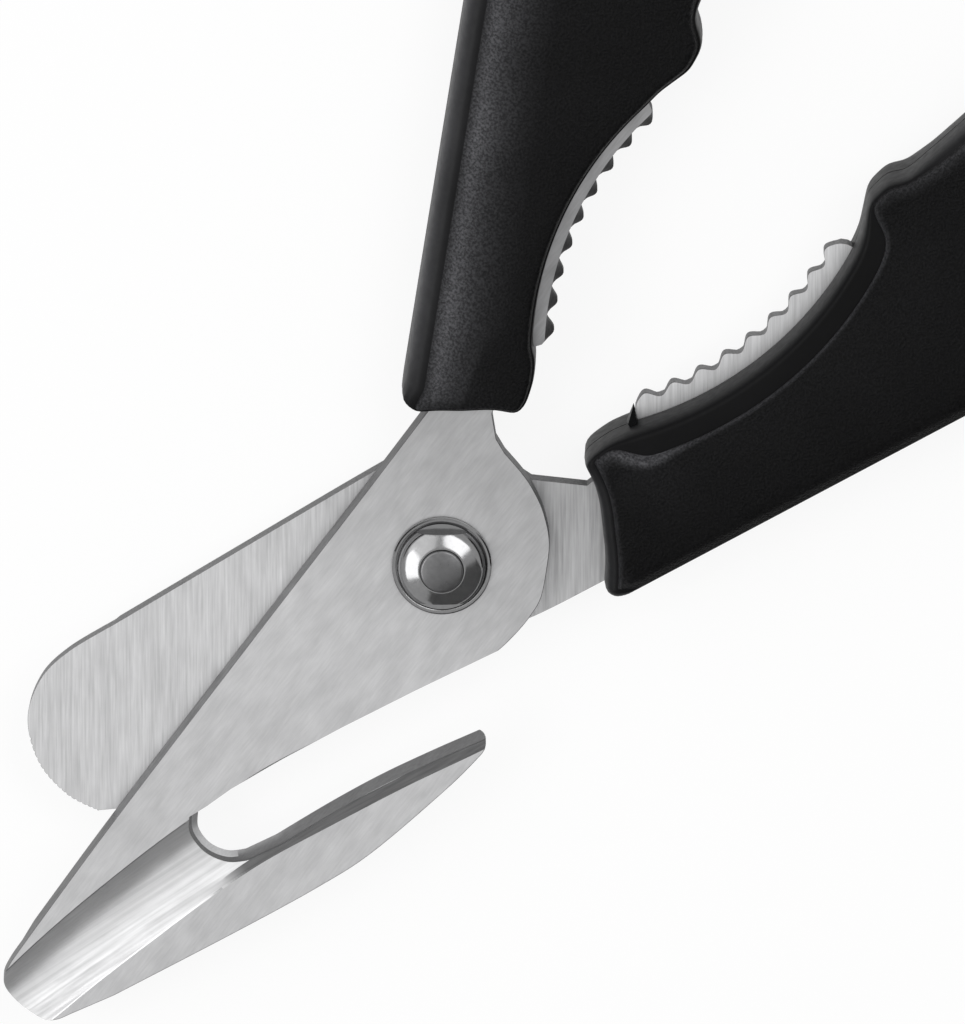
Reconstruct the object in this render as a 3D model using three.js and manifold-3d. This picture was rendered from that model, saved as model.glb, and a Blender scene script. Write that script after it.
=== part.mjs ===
// Seafood scissors: two steel blades on a riveted pivot, with moulded handles closed over their tangs.
// Millimetres and degrees. The origin is on the pivot axis, at the back of the rivet. +Y runs from the pivot
// towards the handles, -Y towards the blade tips, and +Z towards the front face of the scissors.
import * as THREE from 'three';
import { mergeVertices } from 'three/addons/utils/BufferGeometryUtils.js';
import Module from 'manifold-3d';

const wasm = await Module();
wasm.setup();

// Clearances
const FIT_GAP = 0.15;
const RUNNING_GAP = 0.15;
const SEAM_GAP = 0.2;

// Steel plates
const FRONT_THICKNESS = 2.5;
const REAR_THICKNESS = 2.2;

// Pivot
const PIN_DIAMETER = 4.6;
const PIN_CHAMFER = 0.25;
const PIN_PROUD = 0.25;
const TAIL_DIAMETER = 8.4;
const TAIL_HEIGHT = 1.2;
const WASHER_DIAMETER = 10.5;
const WASHER_THICKNESS = 0.6;
const COLLAR_DIAMETER = 10.5;
const COLLAR_RIM = 0.5;
const COLLAR_LIP = 0.5;
const COLLAR_RISE = 1.9;

// Necks, where each blade enters its handle, just inside the radius at which the handles end round the pivot
const HANDLE_END_RADIUS = 17.6;
const NECK_INSET = 0.35;
const NECK_RADIUS = HANDLE_END_RADIUS - NECK_INSET;
const FRONT_NECK_OUTER = polar(NECK_RADIUS, 131.1);
const FRONT_NECK_INNER = polar(NECK_RADIUS, 109.6);
const REAR_NECK_OUTER = polar(NECK_RADIUS, 29.3);
const REAR_NECK_INNER = polar(NECK_RADIUS, 64.9);

// Front blade: cutting edge, tip, outer side of the guard finger and the shoulder round the pivot
const BLADE_LENGTH = 65.5;
const EDGE_BEVEL = 0.35;
const FRONT_EDGE = [FRONT_NECK_OUTER, [-11.1, 0], [-10.9, -17.2], [-10.5, -42.5], fromTip(-9.8, 3)];
const FRONT_TIP = [
  fromTip(-9.5, 1.5), fromTip(-8.2, 0.5), fromTip(-5.7, 0), fromTip(-3.3, 0.4), fromTip(-2.1, 1.3),
];
const GUARD_OUTSIDE = [
  fromTip(1.1, 7.1), [7.1, -45.1], [11.1, -35.7], [13.3, -29.2], [15.3, -19], [15.9, -13.9],
];
const GUARD_END = [[15.6, -12.9], [14.6, -12.4], [13.8, -12.8]];
const SHOULDER = [[10.5, -3.6], [10.8, 0.7], [10.5, 3.3], [9, 6.5], [5, 11.1], [0.6, 13.1], [-2.1, 13.7]];
const SHOULDER_NOTCH = [[-3.8, 14.4], FRONT_NECK_INNER];

// Slot between the spine of the front blade and the guard finger
const SLOT_BEVEL_RUN = 1.0;
const SLOT_BEVEL_RISE = 1.0;
const SPINE = [
  [12, -0.6], [10.5, -3.6], [6.1, -12.6], [2.4, -20.5], [-0.4, -26.9], [-2.8, -32.9], [-3.7, -36],
];
const SLOT_END = [[-3.7, -37.5], [-2.6, -38.9], [-0.6, -39.5], [1.4, -39], [2.8, -37.7]];
const SLOT_GUARD_SIDE = [
  [4.4, -34.5], [6.8, -28.2], [9.2, -22.6], [11.8, -17.4], [14.1, -13.1], [16.5, -8.7],
];

// Hollow groove along the tip, as matching points on its two edges from the guard's end to past the tip
const GROOVE_DEPTH = 1.5;
const GROOVE_BLADE_SIDE = [
  [10.5, -3.6], [6.1, -12.6], [2.4, -20.5], [-1.5, -29.1], [-3.8, -36.5],
  [-5.7, -43.1], fromTip(-7.8, 13.4), fromTip(-9, 7), fromTip(-9.7, 2.2), fromTip(-10.3, -2),
];
const GROOVE_GUARD_SIDE = [
  [19.6, -5], [15.7, -13.5], [11.8, -21.4], [8.1, -29.6], [4.9, -37],
  [2.8, -43.6], fromTip(0.5, 13.1), fromTip(-1, 7), fromTip(-2.1, 2), fromTip(-3, -2),
];
// Depth across the groove from the blade side to the guard side, as shares of the full depth
const GROOVE_SHARE = [0, 0.15, 0.3, 0.45, 0.62, 0.78, 0.9, 0.95, 1];
const GROOVE_AT_SLOT = [0, 0.55, 0.98, 1, 1, 1, 1, 0.9, 0];
const GROOVE_AT_TIP = [0, 0.55, 0.95, 1, 0.86, 0.58, 0.28, 0.14, 0];

// Rear blade
const REAR_BEVEL = 0.6;
const REAR_SPINE = [[-4, 12.2], [-8.7, 9.3], [-11.3, 3.6], [-17.2, -11.5], [-23, -26.5], [-25.1, -32]];
const REAR_END = [[-25.6, -36.2], [-24.1, -40.4], [-20.3, -43.5], [-15.8, -44.5], [-12, -43.9]];
const REAR_EDGE = [[-9.6, -41.6], [-7.6, -36], [-3.1, -24], [1.2, -12.6], [2.9, -8]];
const REAR_HEEL = [[5, -4.6], [8.4, -2.7], [11.2, 0.3], REAR_NECK_OUTER];
const REAR_NECK_TOP = [REAR_NECK_INNER, [2.3, 12.6]];

// Toothed cracker strips: arcs about a centre on the far side of the scissors, mirrored for the left handle
const STRIP_HALF_GAP = 11.8;
const STRIP_CENTRE_Y = 46.7;
const STRIP_RADIUS = 35.2;
const STRIP_SHOW = 2.5;
const STRIP_DEPTH = 11;
const STRIP_START = -36;
const TOOTH_COUNT = 9;
const TOOTH_PITCH = 5.1;
const TOOTH_HEIGHT = 1.1;

// Tangs inside the handles: inset from the strip's base, and angle by which they lap the strip's start
const TANG_INSET = 1.2;
const TANG_LAP_ANGLE = 8;

// Handles
const HANDLE_THICKNESS = 12;
const HANDLE_EDGE = 0.9;
const RECESS_WIDTH = 3.1;
const RECESS_DEPTH = 1.1;

// Posts through the tangs: distance from the strip's buried side, and angles from the strip's two ends
const POST_DIAMETER = 4;
const POST_CLEARANCE = 0.3;
const POST_DEPTH = 1.2;
const POST_INSET = 4.3;
const POST_START_ANGLE = 14;
const POST_END_ANGLE = 8;

// Outlines of the handles: outer side from the level of the strips' centres, finger loop and its hole from
// the far corner of the handle, stop bump from the end of the strip, and swell of the collar
const HANDLE_LENGTH = 119.5;
const HANDLE_HALF_SPREAD = 55.8;
const LEFT_OUTER = [-35.1, 3.1];
const LEFT_LOOP = [
  [12.3, 53.5], [5, 38.5], [0, 23.5], [1.8, 9.5], [10.8, 0.5], [22.3, 1.5], [30.5, 10.5], [34.8, 23.5],
  [37.2, 37.5],
];
const LEFT_BUMP = [[-2.5, 14.8], [-1.1, 10.4], [0.8, 8.8], [1.4, 5.8], [0.2, 2.1]];
const LEFT_SWELL = [0.6, 1.2, 1.3];
const LEFT_HOLE = [18.6, 27.5];
const RIGHT_OUTER = [33.8, -0.1];
const RIGHT_LOOP = [
  [13.2, 53.5], [5.3, 38.5], [0.3, 23.5], [2.3, 9.5], [11.3, 0.5], [22.8, 1.5], [31.3, 10.5], [35.9, 23.5],
  [39.2, 37.5],
];
const RIGHT_BUMP = [[0.2, 14.8], [-0.7, 10.2], [-2.1, 8.7], [-2.5, 5.8], [-0.5, 1.8]];
const RIGHT_SWELL = [0.1, 0.9, 0.9];
const RIGHT_HOLE = [19.4, 27.5];
const COLLAR_SHARES = [0.05, 0.42, 0.8];

// Bolsters: angles of the hollow end face about the pivot, and the turn from there to its outer corner
const LEFT_END_ANGLES = [103.6, 136.6];
const LEFT_CORNER_TURN = 4;
const RIGHT_END_ANGLES = [72.3, 28];
const RIGHT_CORNER_TURN = -1.6;
const BOLSTER_LIP = 1;
const BOLSTER_CORNER = 1.5;

const LOOP_HOLE_LENGTH = 42;
const LOOP_HOLE_WIDTH = 23.5;
const LOOP_HOLE_TILT = 18;

// Levels along the pivot axis
const REAR_BACK = TAIL_HEIGHT + WASHER_THICKNESS + 2 * FIT_GAP;
const REAR_FRONT = REAR_BACK + REAR_THICKNESS;
const FRONT_BACK = REAR_FRONT + RUNNING_GAP;
const FRONT_FRONT = FRONT_BACK + FRONT_THICKNESS;
const PARTING = REAR_FRONT + RUNNING_GAP / 2;
const HANDLE_BACK = PARTING - HANDLE_THICKNESS / 2;
const HANDLE_FRONT = PARTING + HANDLE_THICKNESS / 2;
const PIN_HOLE_RADIUS = PIN_DIAMETER / 2 + FIT_GAP;

// The strips' arcs, as radii about their centres and angles
const STRIP_CENTRE_X = STRIP_HALF_GAP - STRIP_RADIUS;
const STRIP_BASE_RADIUS = STRIP_RADIUS + STRIP_SHOW;
const STRIP_BACK_RADIUS = STRIP_RADIUS + STRIP_DEPTH;
const STRIP_END = STRIP_START + TOOTH_COUNT * TOOTH_PITCH;
const POST_RADIUS = STRIP_BACK_RADIUS - POST_INSET;
const POST_ANGLES = [STRIP_START + POST_START_ANGLE, STRIP_END - POST_END_ANGLE];

// Cutters reach this far past what they cut, and a slab covers the whole part
const REACH = 5;
const SLAB_SIZE = 400;

// Fineness of the curves
const FACETS = 32;
const POST_FACETS = 16;
const SPAN_STEPS = 3;
const ARC_STEPS = 10;
const TOOTH_STEPS = 4;
const DOME_ANGLES = [0, 22.5, 45, 67.5, 90];
const EDGE_STEPS = 2;
const MERGE_DISTANCE = 1e-4;

// The groove keeps its slot profile up to this station
const GROOVE_SLOT_STATION = 3;
// The sharpest corner that is grown at its full mitre, as the cosine of half its turn
const MITRE_LIMIT = 0.5;

const steel = new THREE.MeshStandardMaterial({ color: 0xb9babc, roughness: 0.38, metalness: 1 });
const darkerSteel = new THREE.MeshStandardMaterial({ color: 0xb2b3b5, roughness: 0.42, metalness: 1 });
const polished = new THREE.MeshStandardMaterial({ color: 0xc9cacc, roughness: 0.12, metalness: 1 });
const plastic = new THREE.MeshStandardMaterial({ color: 0x17181a, roughness: 0.55, metalness: 0 });

const vectors = (points) => points.map(([x, y]) => new THREE.Vector2(x, y));
const radians = THREE.MathUtils.degToRad;

// A point at a radius and an angle about the pivot
function polar(radius, degrees) {
  const angle = THREE.MathUtils.degToRad(degrees);
  return [radius * Math.cos(angle), radius * Math.sin(angle)];
}

// A point of the front blade, measured along it from its tip
function fromTip(x, y) {
  return [x, y - BLADE_LENGTH];
}

// A smooth open curve through a few points, as a list of points
function smooth(points) {
  return new THREE.SplineCurve(vectors(points)).getPoints((points.length - 1) * SPAN_STEPS);
}

// A solid from loose positions and triangles, turned so that its faces point out
function solidFrom(vertProperties, triVerts) {
  const corner = [0, 1, 2].map(() => new THREE.Vector3());
  let volume = 0;
  for (let i = 0; i < triVerts.length; i += 3) {
    corner.forEach((v, k) => v.fromArray(vertProperties, triVerts[i + k] * 3));
    volume += corner[0].dot(corner[1].clone().cross(corner[2]));
  }
  const triangles = volume < 0 ? Array.from(triVerts).reverse() : triVerts;
  return new wasm.Manifold(new wasm.Mesh({
    numProp: 3,
    vertProperties: Float32Array.from(vertProperties),
    triVerts: Uint32Array.from(triangles),
  }));
}

function solidOf(geometry) {
  geometry.deleteAttribute('normal');
  geometry.deleteAttribute('uv');
  const merged = mergeVertices(geometry, MERGE_DISTANCE);
  return solidFrom(merged.attributes.position.array, merged.index.array);
}

// An upright prism of a flat outline between two levels
function prism(outline, low, high) {
  const shape = outline instanceof THREE.Shape ? outline : new THREE.Shape(outline);
  const geometry = new THREE.ExtrudeGeometry(shape, {
    depth: high - low, bevelEnabled: false, curveSegments: SPAN_STEPS,
  });
  return solidOf(geometry.translate(0, 0, low));
}

function rod(radius, low, high, x = 0, y = 0, facets = FACETS) {
  const geometry = new THREE.CylinderGeometry(radius, radius, high - low, facets);
  return solidOf(geometry.rotateX(Math.PI / 2).translate(x, y, (low + high) / 2));
}

// A body of revolution about the pivot axis, from a closed profile of [radius, level] points
function turned(profile) {
  const closed = vectors([...profile, profile[0]]);
  return solidOf(new THREE.LatheGeometry(closed, FACETS).rotateX(Math.PI / 2));
}

// A body through matching closed rings of points, with flat ends
function skin(rings, endOutline) {
  const count = rings[0].length;
  const positions = rings.flat().flatMap((p) => [p.x, p.y, p.z]);
  const triangles = [];
  for (let r = 0; r + 1 < rings.length; r += 1) {
    for (let i = 0; i < count; i += 1) {
      const a = r * count + i;
      const b = r * count + (i + 1) % count;
      triangles.push(a, b, b + count, a, b + count, a + count);
    }
  }
  const last = (rings.length - 1) * count;
  for (const [a, b, c] of THREE.ShapeUtils.triangulateShape(endOutline, [])) {
    triangles.push(c, b, a, last + a, last + b, last + c);
  }
  return solidFrom(positions, triangles);
}

// A plate whose outline changes from level to level
function plate(levels) {
  const rings = levels.map(([z, points]) => points.map((p) => new THREE.Vector3(p.x, p.y, z)));
  return skin(rings, levels[0][1]);
}

// Points moved sideways from a run of points, to the right of its direction
function offsetRun(points, distance) {
  return points.map((p, i) => {
    const before = points[Math.max(i - 1, 0)];
    const after = points[Math.min(i + 1, points.length - 1)];
    const along = after.clone().sub(before).normalize();
    return new THREE.Vector2(p.x + along.y * distance, p.y - along.x * distance);
  });
}

// A convex or nearly convex outline grown by a distance all round
function grown(points, distance) {
  const count = points.length;
  const turn = THREE.ShapeUtils.isClockWise(points) ? -1 : 1;
  return points.map((p, i) => {
    const before = points[(i + count - 1) % count];
    const after = points[(i + 1) % count];
    const into = p.clone().sub(before).normalize();
    const out = after.clone().sub(p).normalize();
    const side = new THREE.Vector2(into.y, -into.x).multiplyScalar(turn);
    const normal = new THREE.Vector2(into.y + out.y, -into.x - out.x).normalize().multiplyScalar(turn);
    return p.clone().addScaledVector(normal, distance / Math.max(normal.dot(side), MITRE_LIMIT));
  });
}

const stripPoint = (side, radius, degrees) => new THREE.Vector2(
  side * (STRIP_CENTRE_X + radius * Math.cos(radians(degrees))),
  STRIP_CENTRE_Y + radius * Math.sin(radians(degrees)),
);

function stripArc(side, radius, from, to) {
  return Array.from({ length: ARC_STEPS + 1 }, (_, i) => (
    stripPoint(side, radius, THREE.MathUtils.lerp(from, to, i / ARC_STEPS))));
}

// The strip's outline: scalloped teeth on the inner side and a plain arc buried in the handle
function stripOutline(side) {
  const teeth = [];
  for (let i = 0; i <= TOOTH_COUNT * TOOTH_STEPS; i += 1) {
    const swell = Math.sin(Math.PI * ((i / TOOTH_STEPS) % 1));
    const radius = STRIP_RADIUS + TOOTH_HEIGHT * (1 - swell);
    teeth.push(stripPoint(side, radius, STRIP_START + (i / TOOTH_STEPS) * TOOTH_PITCH));
  }
  return [...teeth, ...stripArc(side, STRIP_BACK_RADIUS, STRIP_END, STRIP_START)];
}

const postPlaces = (side) => POST_ANGLES.map((degrees) => stripPoint(side, POST_RADIUS, degrees));

// The tang's outline from the two points of the blade's neck to the start of the strip
function tangOutline(side, neckOuter, neckInner) {
  const inner = STRIP_BASE_RADIUS + TANG_INSET;
  const lap = STRIP_START + TANG_LAP_ANGLE;
  return [
    ...vectors([neckOuter, neckInner]),
    stripPoint(side, inner, STRIP_START), stripPoint(side, inner, lap),
    stripPoint(side, STRIP_BACK_RADIUS, lap), stripPoint(side, STRIP_BACK_RADIUS, STRIP_START),
  ];
}

// The tang with its toothed strip, holed for the handle's posts
function tang(side, neck, low, high) {
  let body = prism(neck, low, high).add(prism(stripOutline(side), low, high));
  for (const place of postPlaces(side)) {
    const radius = POST_DIAMETER / 2 + POST_CLEARANCE;
    body = body.subtract(rod(radius, low - REACH, high + REACH, place.x, place.y, POST_FACETS));
  }
  return body;
}

function frontBlade() {
  const edge = smooth(FRONT_EDGE);
  const curves = [FRONT_TIP, GUARD_OUTSIDE, GUARD_END, SHOULDER].flatMap(smooth);
  const rest = [...curves, ...vectors(SHOULDER_NOTCH)];
  const outline = [...edge, ...rest];
  const wider = [...offsetRun(edge, EDGE_BEVEL), ...rest];
  return plate([[FRONT_BACK, wider], [FRONT_FRONT, outline]])
    .add(tang(LEFT_HANDLE.side, LEFT_HANDLE.tang, FRONT_BACK, FRONT_FRONT))
    .subtract(slotCutter())
    .subtract(grooveCutter())
    .subtract(rod(PIN_HOLE_RADIUS, FRONT_BACK - REACH, FRONT_FRONT + REACH));
}

// The slot is narrow at the back of the plate and opens by a bevel round its end and along the guard finger
function slotCutter() {
  const spine = vectors(SPINE);
  const beveled = [...smooth(SLOT_END), ...smooth(SLOT_GUARD_SIDE)];
  const mouth = vectors([[SPINE[0][0] + REACH, SPINE[0][1]]]);
  const narrow = [...spine, ...beveled, ...mouth];
  const wide = [...spine, ...offsetRun(beveled, SLOT_BEVEL_RUN), ...mouth];
  const shoulder = FRONT_BACK + SLOT_BEVEL_RISE;
  return plate([
    [FRONT_BACK - REACH, narrow], [FRONT_BACK, narrow], [shoulder, wide], [FRONT_FRONT + REACH, wide],
  ]);
}

// The groove is deep and steep beside the slot and shallow towards the tip
function grooveCutter() {
  const bladeSide = vectors(GROOVE_BLADE_SIDE);
  const guardSide = vectors(GROOVE_GUARD_SIDE);
  const stations = bladeSide.map((from, i) => {
    const towardsTip = THREE.MathUtils.smoothstep(i, GROOVE_SLOT_STATION, bladeSide.length - 2);
    const across = GROOVE_SHARE.map((share, k) => {
      const depth = GROOVE_DEPTH * THREE.MathUtils.lerp(GROOVE_AT_SLOT[k], GROOVE_AT_TIP[k], towardsTip);
      const place = from.clone().lerp(guardSide[i], share);
      return new THREE.Vector3(place.x, place.y, FRONT_FRONT - depth);
    });
    const top = FRONT_FRONT + REACH;
    return [...across, across.at(-1).clone().setZ(top), across[0].clone().setZ(top)];
  });
  const end = [...GROOVE_SHARE.map((share, k) => new THREE.Vector2(share, -GROOVE_AT_SLOT[k])),
    new THREE.Vector2(1, 1), new THREE.Vector2(0, 1)];
  return skin(stations, end);
}

function rearBlade() {
  const edge = smooth(REAR_EDGE);
  const before = [REAR_SPINE, REAR_END].flatMap(smooth);
  const after = smooth(REAR_HEEL).concat(vectors(REAR_NECK_TOP));
  const outline = [...before, ...edge, ...after];
  const narrower = [...before, ...offsetRun(edge, -REAR_BEVEL), ...after];
  return plate([[REAR_BACK, narrower], [REAR_FRONT, outline]])
    .add(tang(RIGHT_HANDLE.side, RIGHT_HANDLE.tang, REAR_BACK, REAR_FRONT))
    .subtract(rod(PIN_HOLE_RADIUS, REAR_BACK - REACH, REAR_FRONT + REACH));
}

function pivotRivet() {
  const radius = PIN_DIAMETER / 2;
  const top = FRONT_FRONT + FIT_GAP + COLLAR_RIM + COLLAR_RISE + PIN_PROUD;
  return turned([
    [0, 0], [TAIL_DIAMETER / 2, 0], [TAIL_DIAMETER / 2, TAIL_HEIGHT], [radius, TAIL_HEIGHT],
    [radius, top - PIN_CHAMFER], [radius - PIN_CHAMFER, top], [0, top],
  ]);
}

function pivotWasher() {
  const back = TAIL_HEIGHT + FIT_GAP;
  const front = back + WASHER_THICKNESS;
  const radius = WASHER_DIAMETER / 2;
  return turned([[PIN_HOLE_RADIUS, back], [radius, back], [radius, front], [PIN_HOLE_RADIUS, front]]);
}

// A rim, a flat lip and a dome that swells up to the pin's end
function pivotCollar() {
  const seat = FRONT_FRONT + FIT_GAP;
  const rim = seat + COLLAR_RIM;
  const foot = COLLAR_DIAMETER / 2 - COLLAR_LIP;
  const dome = DOME_ANGLES.map((degrees) => [
    PIN_HOLE_RADIUS + (foot - PIN_HOLE_RADIUS) * Math.cos(radians(degrees)),
    rim + COLLAR_RISE * Math.sin(radians(degrees)),
  ]);
  return turned([
    [PIN_HOLE_RADIUS, seat], [COLLAR_DIAMETER / 2, seat], [COLLAR_DIAMETER / 2, rim], ...dome,
  ]);
}

// The collar of a handle: a swelling run from the start of the strip to the lip of the bolster
function collarRun({ side, swell, endAngles }) {
  const start = stripPoint(side, STRIP_BASE_RADIUS, STRIP_START);
  const lip = new THREE.Vector2(...polar(HANDLE_END_RADIUS + BOLSTER_LIP, endAngles[0]));
  const along = lip.clone().sub(start).normalize();
  const inward = new THREE.Vector2(along.y, -along.x).multiplyScalar(side);
  const run = COLLAR_SHARES.map((share) => start.clone().lerp(lip, share));
  return [...run.map((point, i) => point.addScaledVector(inward, swell[i])), lip];
}

// The end of a handle: a hollow face about the pivot and its outer corner
function bolsterRun({ endAngles: [from, to], cornerTurn }) {
  const face = Array.from({ length: ARC_STEPS }, (_, i) => (
    polar(HANDLE_END_RADIUS, THREE.MathUtils.lerp(from, to, (i + 1) / ARC_STEPS))));
  return vectors([...face, polar(HANDLE_END_RADIUS + BOLSTER_CORNER, to + cornerTurn)]);
}

// The outline of a handle, with its finger loop cut through
function handleShape(handle) {
  const { side, outer, loop, bump, hole } = handle;
  const start = [outer[0], outer[1] + STRIP_CENTRE_Y];
  const fromCorner = ([x, y]) => [side * (HANDLE_HALF_SPREAD - x), HANDLE_LENGTH - y];
  const stripEnd = stripPoint(side, STRIP_BASE_RADIUS, STRIP_END);
  const stop = bump.map(([x, y]) => [x + stripEnd.x, y + stripEnd.y]);
  const shape = new THREE.Shape([
    ...smooth([start, ...loop.map(fromCorner), ...stop.slice(0, 2)]),
    ...vectors(stop.slice(2)),
    ...stripArc(side, STRIP_BASE_RADIUS, STRIP_END, STRIP_START),
    ...collarRun(handle),
    ...bolsterRun(handle),
  ]);
  const tilt = -side * radians(LOOP_HOLE_TILT);
  const radii = [LOOP_HOLE_WIDTH / 2, LOOP_HOLE_LENGTH / 2];
  const opening = new THREE.Path();
  opening.absellipse(...fromCorner(hole), ...radii, 0, 2 * Math.PI, false, tilt);
  shape.holes.push(new THREE.Path(opening.getPoints(FACETS).slice(0, -1)));
  return shape;
}

// A whole handle with rounded rims, before it is parted into shells
function handleBody(handle) {
  const geometry = new THREE.ExtrudeGeometry(handleShape(handle), {
    depth: HANDLE_THICKNESS - 2 * HANDLE_EDGE,
    bevelThickness: HANDLE_EDGE,
    bevelSize: HANDLE_EDGE,
    bevelOffset: -HANDLE_EDGE,
    bevelSegments: EDGE_STEPS,
  });
  return solidOf(geometry.translate(0, 0, HANDLE_BACK + HANDLE_EDGE));
}

// Everything above or below a level, as a slab to cut with
function slab(low, high) {
  const geometry = new THREE.BoxGeometry(SLAB_SIZE, SLAB_SIZE, high - low);
  return solidOf(geometry.translate(0, 0, (low + high) / 2));
}

// The room that a tang takes in its shell, open towards the strip's teeth
function tangPocket(side, neck, low, high) {
  const gapAngle = THREE.MathUtils.radToDeg(FIT_GAP / STRIP_RADIUS);
  const sector = [
    ...stripArc(side, STRIP_RADIUS - REACH, STRIP_START - gapAngle, STRIP_END + gapAngle),
    ...stripArc(side, STRIP_BACK_RADIUS + FIT_GAP, STRIP_END + gapAngle, STRIP_START - gapAngle),
  ];
  return prism(grown(neck, FIT_GAP), low, high).add(prism(sector, low, high));
}

// The smooth hollow along the inner rim of a handle, on its plain side
function rimRecess(side, low, high) {
  return prism([
    ...stripArc(side, STRIP_RADIUS - REACH, STRIP_START, STRIP_END),
    ...stripArc(side, STRIP_BASE_RADIUS + RECESS_WIDTH, STRIP_END, STRIP_START),
  ], low, high);
}

// The two shells of a handle: one holds the tang, the other carries the posts that pass through it
function handleShells(handle, tangLow, tangHigh, tangInFront) {
  const { side, tang: neck } = handle;
  const body = handleBody(handle);
  const frontHalf = body.subtract(slab(HANDLE_BACK - REACH, PARTING + SEAM_GAP / 2));
  const backHalf = body.subtract(slab(PARTING - SEAM_GAP / 2, HANDLE_FRONT + REACH));
  const floor = tangInFront ? tangHigh + FIT_GAP : tangLow - FIT_GAP;
  const plainFace = tangInFront ? HANDLE_BACK : HANDLE_FRONT;
  const pocketSpan = tangInFront ? [PARTING - REACH, floor] : [floor, PARTING + REACH];
  const socketSpan = tangInFront
    ? [PARTING, floor + POST_DEPTH + FIT_GAP]
    : [floor - POST_DEPTH - FIT_GAP, PARTING];
  const postSpan = tangInFront
    ? [PARTING - REACH / 2, floor + POST_DEPTH]
    : [floor - POST_DEPTH, PARTING + REACH / 2];
  const recessSpan = tangInFront
    ? [plainFace - REACH, plainFace + RECESS_DEPTH]
    : [plainFace - RECESS_DEPTH, plainFace + REACH];
  let holder = (tangInFront ? frontHalf : backHalf).subtract(tangPocket(side, neck, ...pocketSpan));
  let cover = (tangInFront ? backHalf : frontHalf).subtract(rimRecess(side, ...recessSpan));
  for (const { x, y } of postPlaces(side)) {
    holder = holder.subtract(rod(POST_DIAMETER / 2 + FIT_GAP, ...socketSpan, x, y, POST_FACETS));
    cover = cover.add(rod(POST_DIAMETER / 2, ...postSpan, x, y, POST_FACETS));
  }
  return tangInFront ? { front: holder, back: cover } : { front: cover, back: holder };
}

function mesh(name, solid, material) {
  const { vertProperties, triVerts } = solid.getMesh();
  const geometry = new THREE.BufferGeometry();
  geometry.setAttribute('position', new THREE.BufferAttribute(vertProperties, 3));
  geometry.setIndex(new THREE.BufferAttribute(triVerts, 1));
  geometry.computeVertexNormals();
  const result = new THREE.Mesh(geometry, material);
  result.name = name;
  return result;
}

const LEFT_HANDLE = {
  side: -1,
  outer: LEFT_OUTER,
  loop: LEFT_LOOP,
  bump: LEFT_BUMP,
  swell: LEFT_SWELL,
  endAngles: LEFT_END_ANGLES,
  cornerTurn: LEFT_CORNER_TURN,
  hole: LEFT_HOLE,
  tang: tangOutline(-1, FRONT_NECK_OUTER, FRONT_NECK_INNER),
};
const RIGHT_HANDLE = {
  side: 1,
  outer: RIGHT_OUTER,
  loop: RIGHT_LOOP,
  bump: RIGHT_BUMP,
  swell: RIGHT_SWELL,
  endAngles: RIGHT_END_ANGLES,
  cornerTurn: RIGHT_CORNER_TURN,
  hole: RIGHT_HOLE,
  tang: tangOutline(1, REAR_NECK_OUTER, REAR_NECK_INNER),
};
const leftShells = handleShells(LEFT_HANDLE, FRONT_BACK, FRONT_FRONT, true);
const rightShells = handleShells(RIGHT_HANDLE, REAR_BACK, REAR_FRONT, false);

const frontHalf = new THREE.Group();
frontHalf.add(
  mesh('front_blade', frontBlade(), steel),
  mesh('pivot_rivet', pivotRivet(), polished),
  mesh('pivot_collar', pivotCollar(), polished),
  mesh('pivot_washer', pivotWasher(), polished),
  mesh('left_handle_front_shell', leftShells.front, plastic),
  mesh('left_handle_back_shell', leftShells.back, plastic),
);

const rearHalf = new THREE.Group();
rearHalf.add(
  mesh('rear_blade', rearBlade(), darkerSteel),
  mesh('right_handle_front_shell', rightShells.front, plastic),
  mesh('right_handle_back_shell', rightShells.back, plastic),
);

const scissors = new THREE.Group();
scissors.add(frontHalf, rearHalf);

export default scissors;
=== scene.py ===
"""Seafood scissors: the visual model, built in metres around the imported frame.

Two brushed blades turn on a riveted pivot. Each handle is a pair of moulded half shells with a raised,
pebbled grip panel, and a toothed cracker strip shows along its inner side.
"""

from __future__ import annotations

import logging
import math
from collections.abc import Sequence
from dataclasses import dataclass, replace
from enum import Enum
from functools import cache, partial

import bmesh
import bpy
from bpy.types import Material, Node, NodeSocket, NodeTree
from mathutils import Matrix, Vector
from mathutils.geometry import interpolate_bezier
from mathutils.kdtree import KDTree

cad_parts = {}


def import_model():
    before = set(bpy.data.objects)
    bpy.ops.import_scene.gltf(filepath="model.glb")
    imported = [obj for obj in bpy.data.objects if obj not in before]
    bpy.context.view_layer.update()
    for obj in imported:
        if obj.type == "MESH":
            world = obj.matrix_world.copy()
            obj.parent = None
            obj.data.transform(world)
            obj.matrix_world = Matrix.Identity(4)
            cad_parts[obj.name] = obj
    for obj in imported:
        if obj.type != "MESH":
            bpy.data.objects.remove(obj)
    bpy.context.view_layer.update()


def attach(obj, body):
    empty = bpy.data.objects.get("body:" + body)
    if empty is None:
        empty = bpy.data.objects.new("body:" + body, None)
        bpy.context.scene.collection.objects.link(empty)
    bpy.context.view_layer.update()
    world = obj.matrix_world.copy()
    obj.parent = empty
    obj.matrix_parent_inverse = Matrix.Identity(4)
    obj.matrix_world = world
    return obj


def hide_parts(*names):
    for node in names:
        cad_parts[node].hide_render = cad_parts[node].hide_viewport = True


LOG = logging.getLogger("scissors")

MM = 0.001
WELD = 1e-4
PAINTED_WALL_SHADE = "wall"
PAINTED_HIGHLIGHT = "painted_highlight"
PLATE_CREASE = 16.0
TURNED_CREASE = 40.0
MOULDED_CREASE = 50.0
# Upright shares of a face's normal between which steel takes its painted wall shade, for the plate and for
# the groove.
PLATE_SLOPES = (0.84, 0.72)
HOLLOW_SLOPES = (0.76, 0.64)
NOISE_SPAN = (0.3, 0.7)

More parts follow.
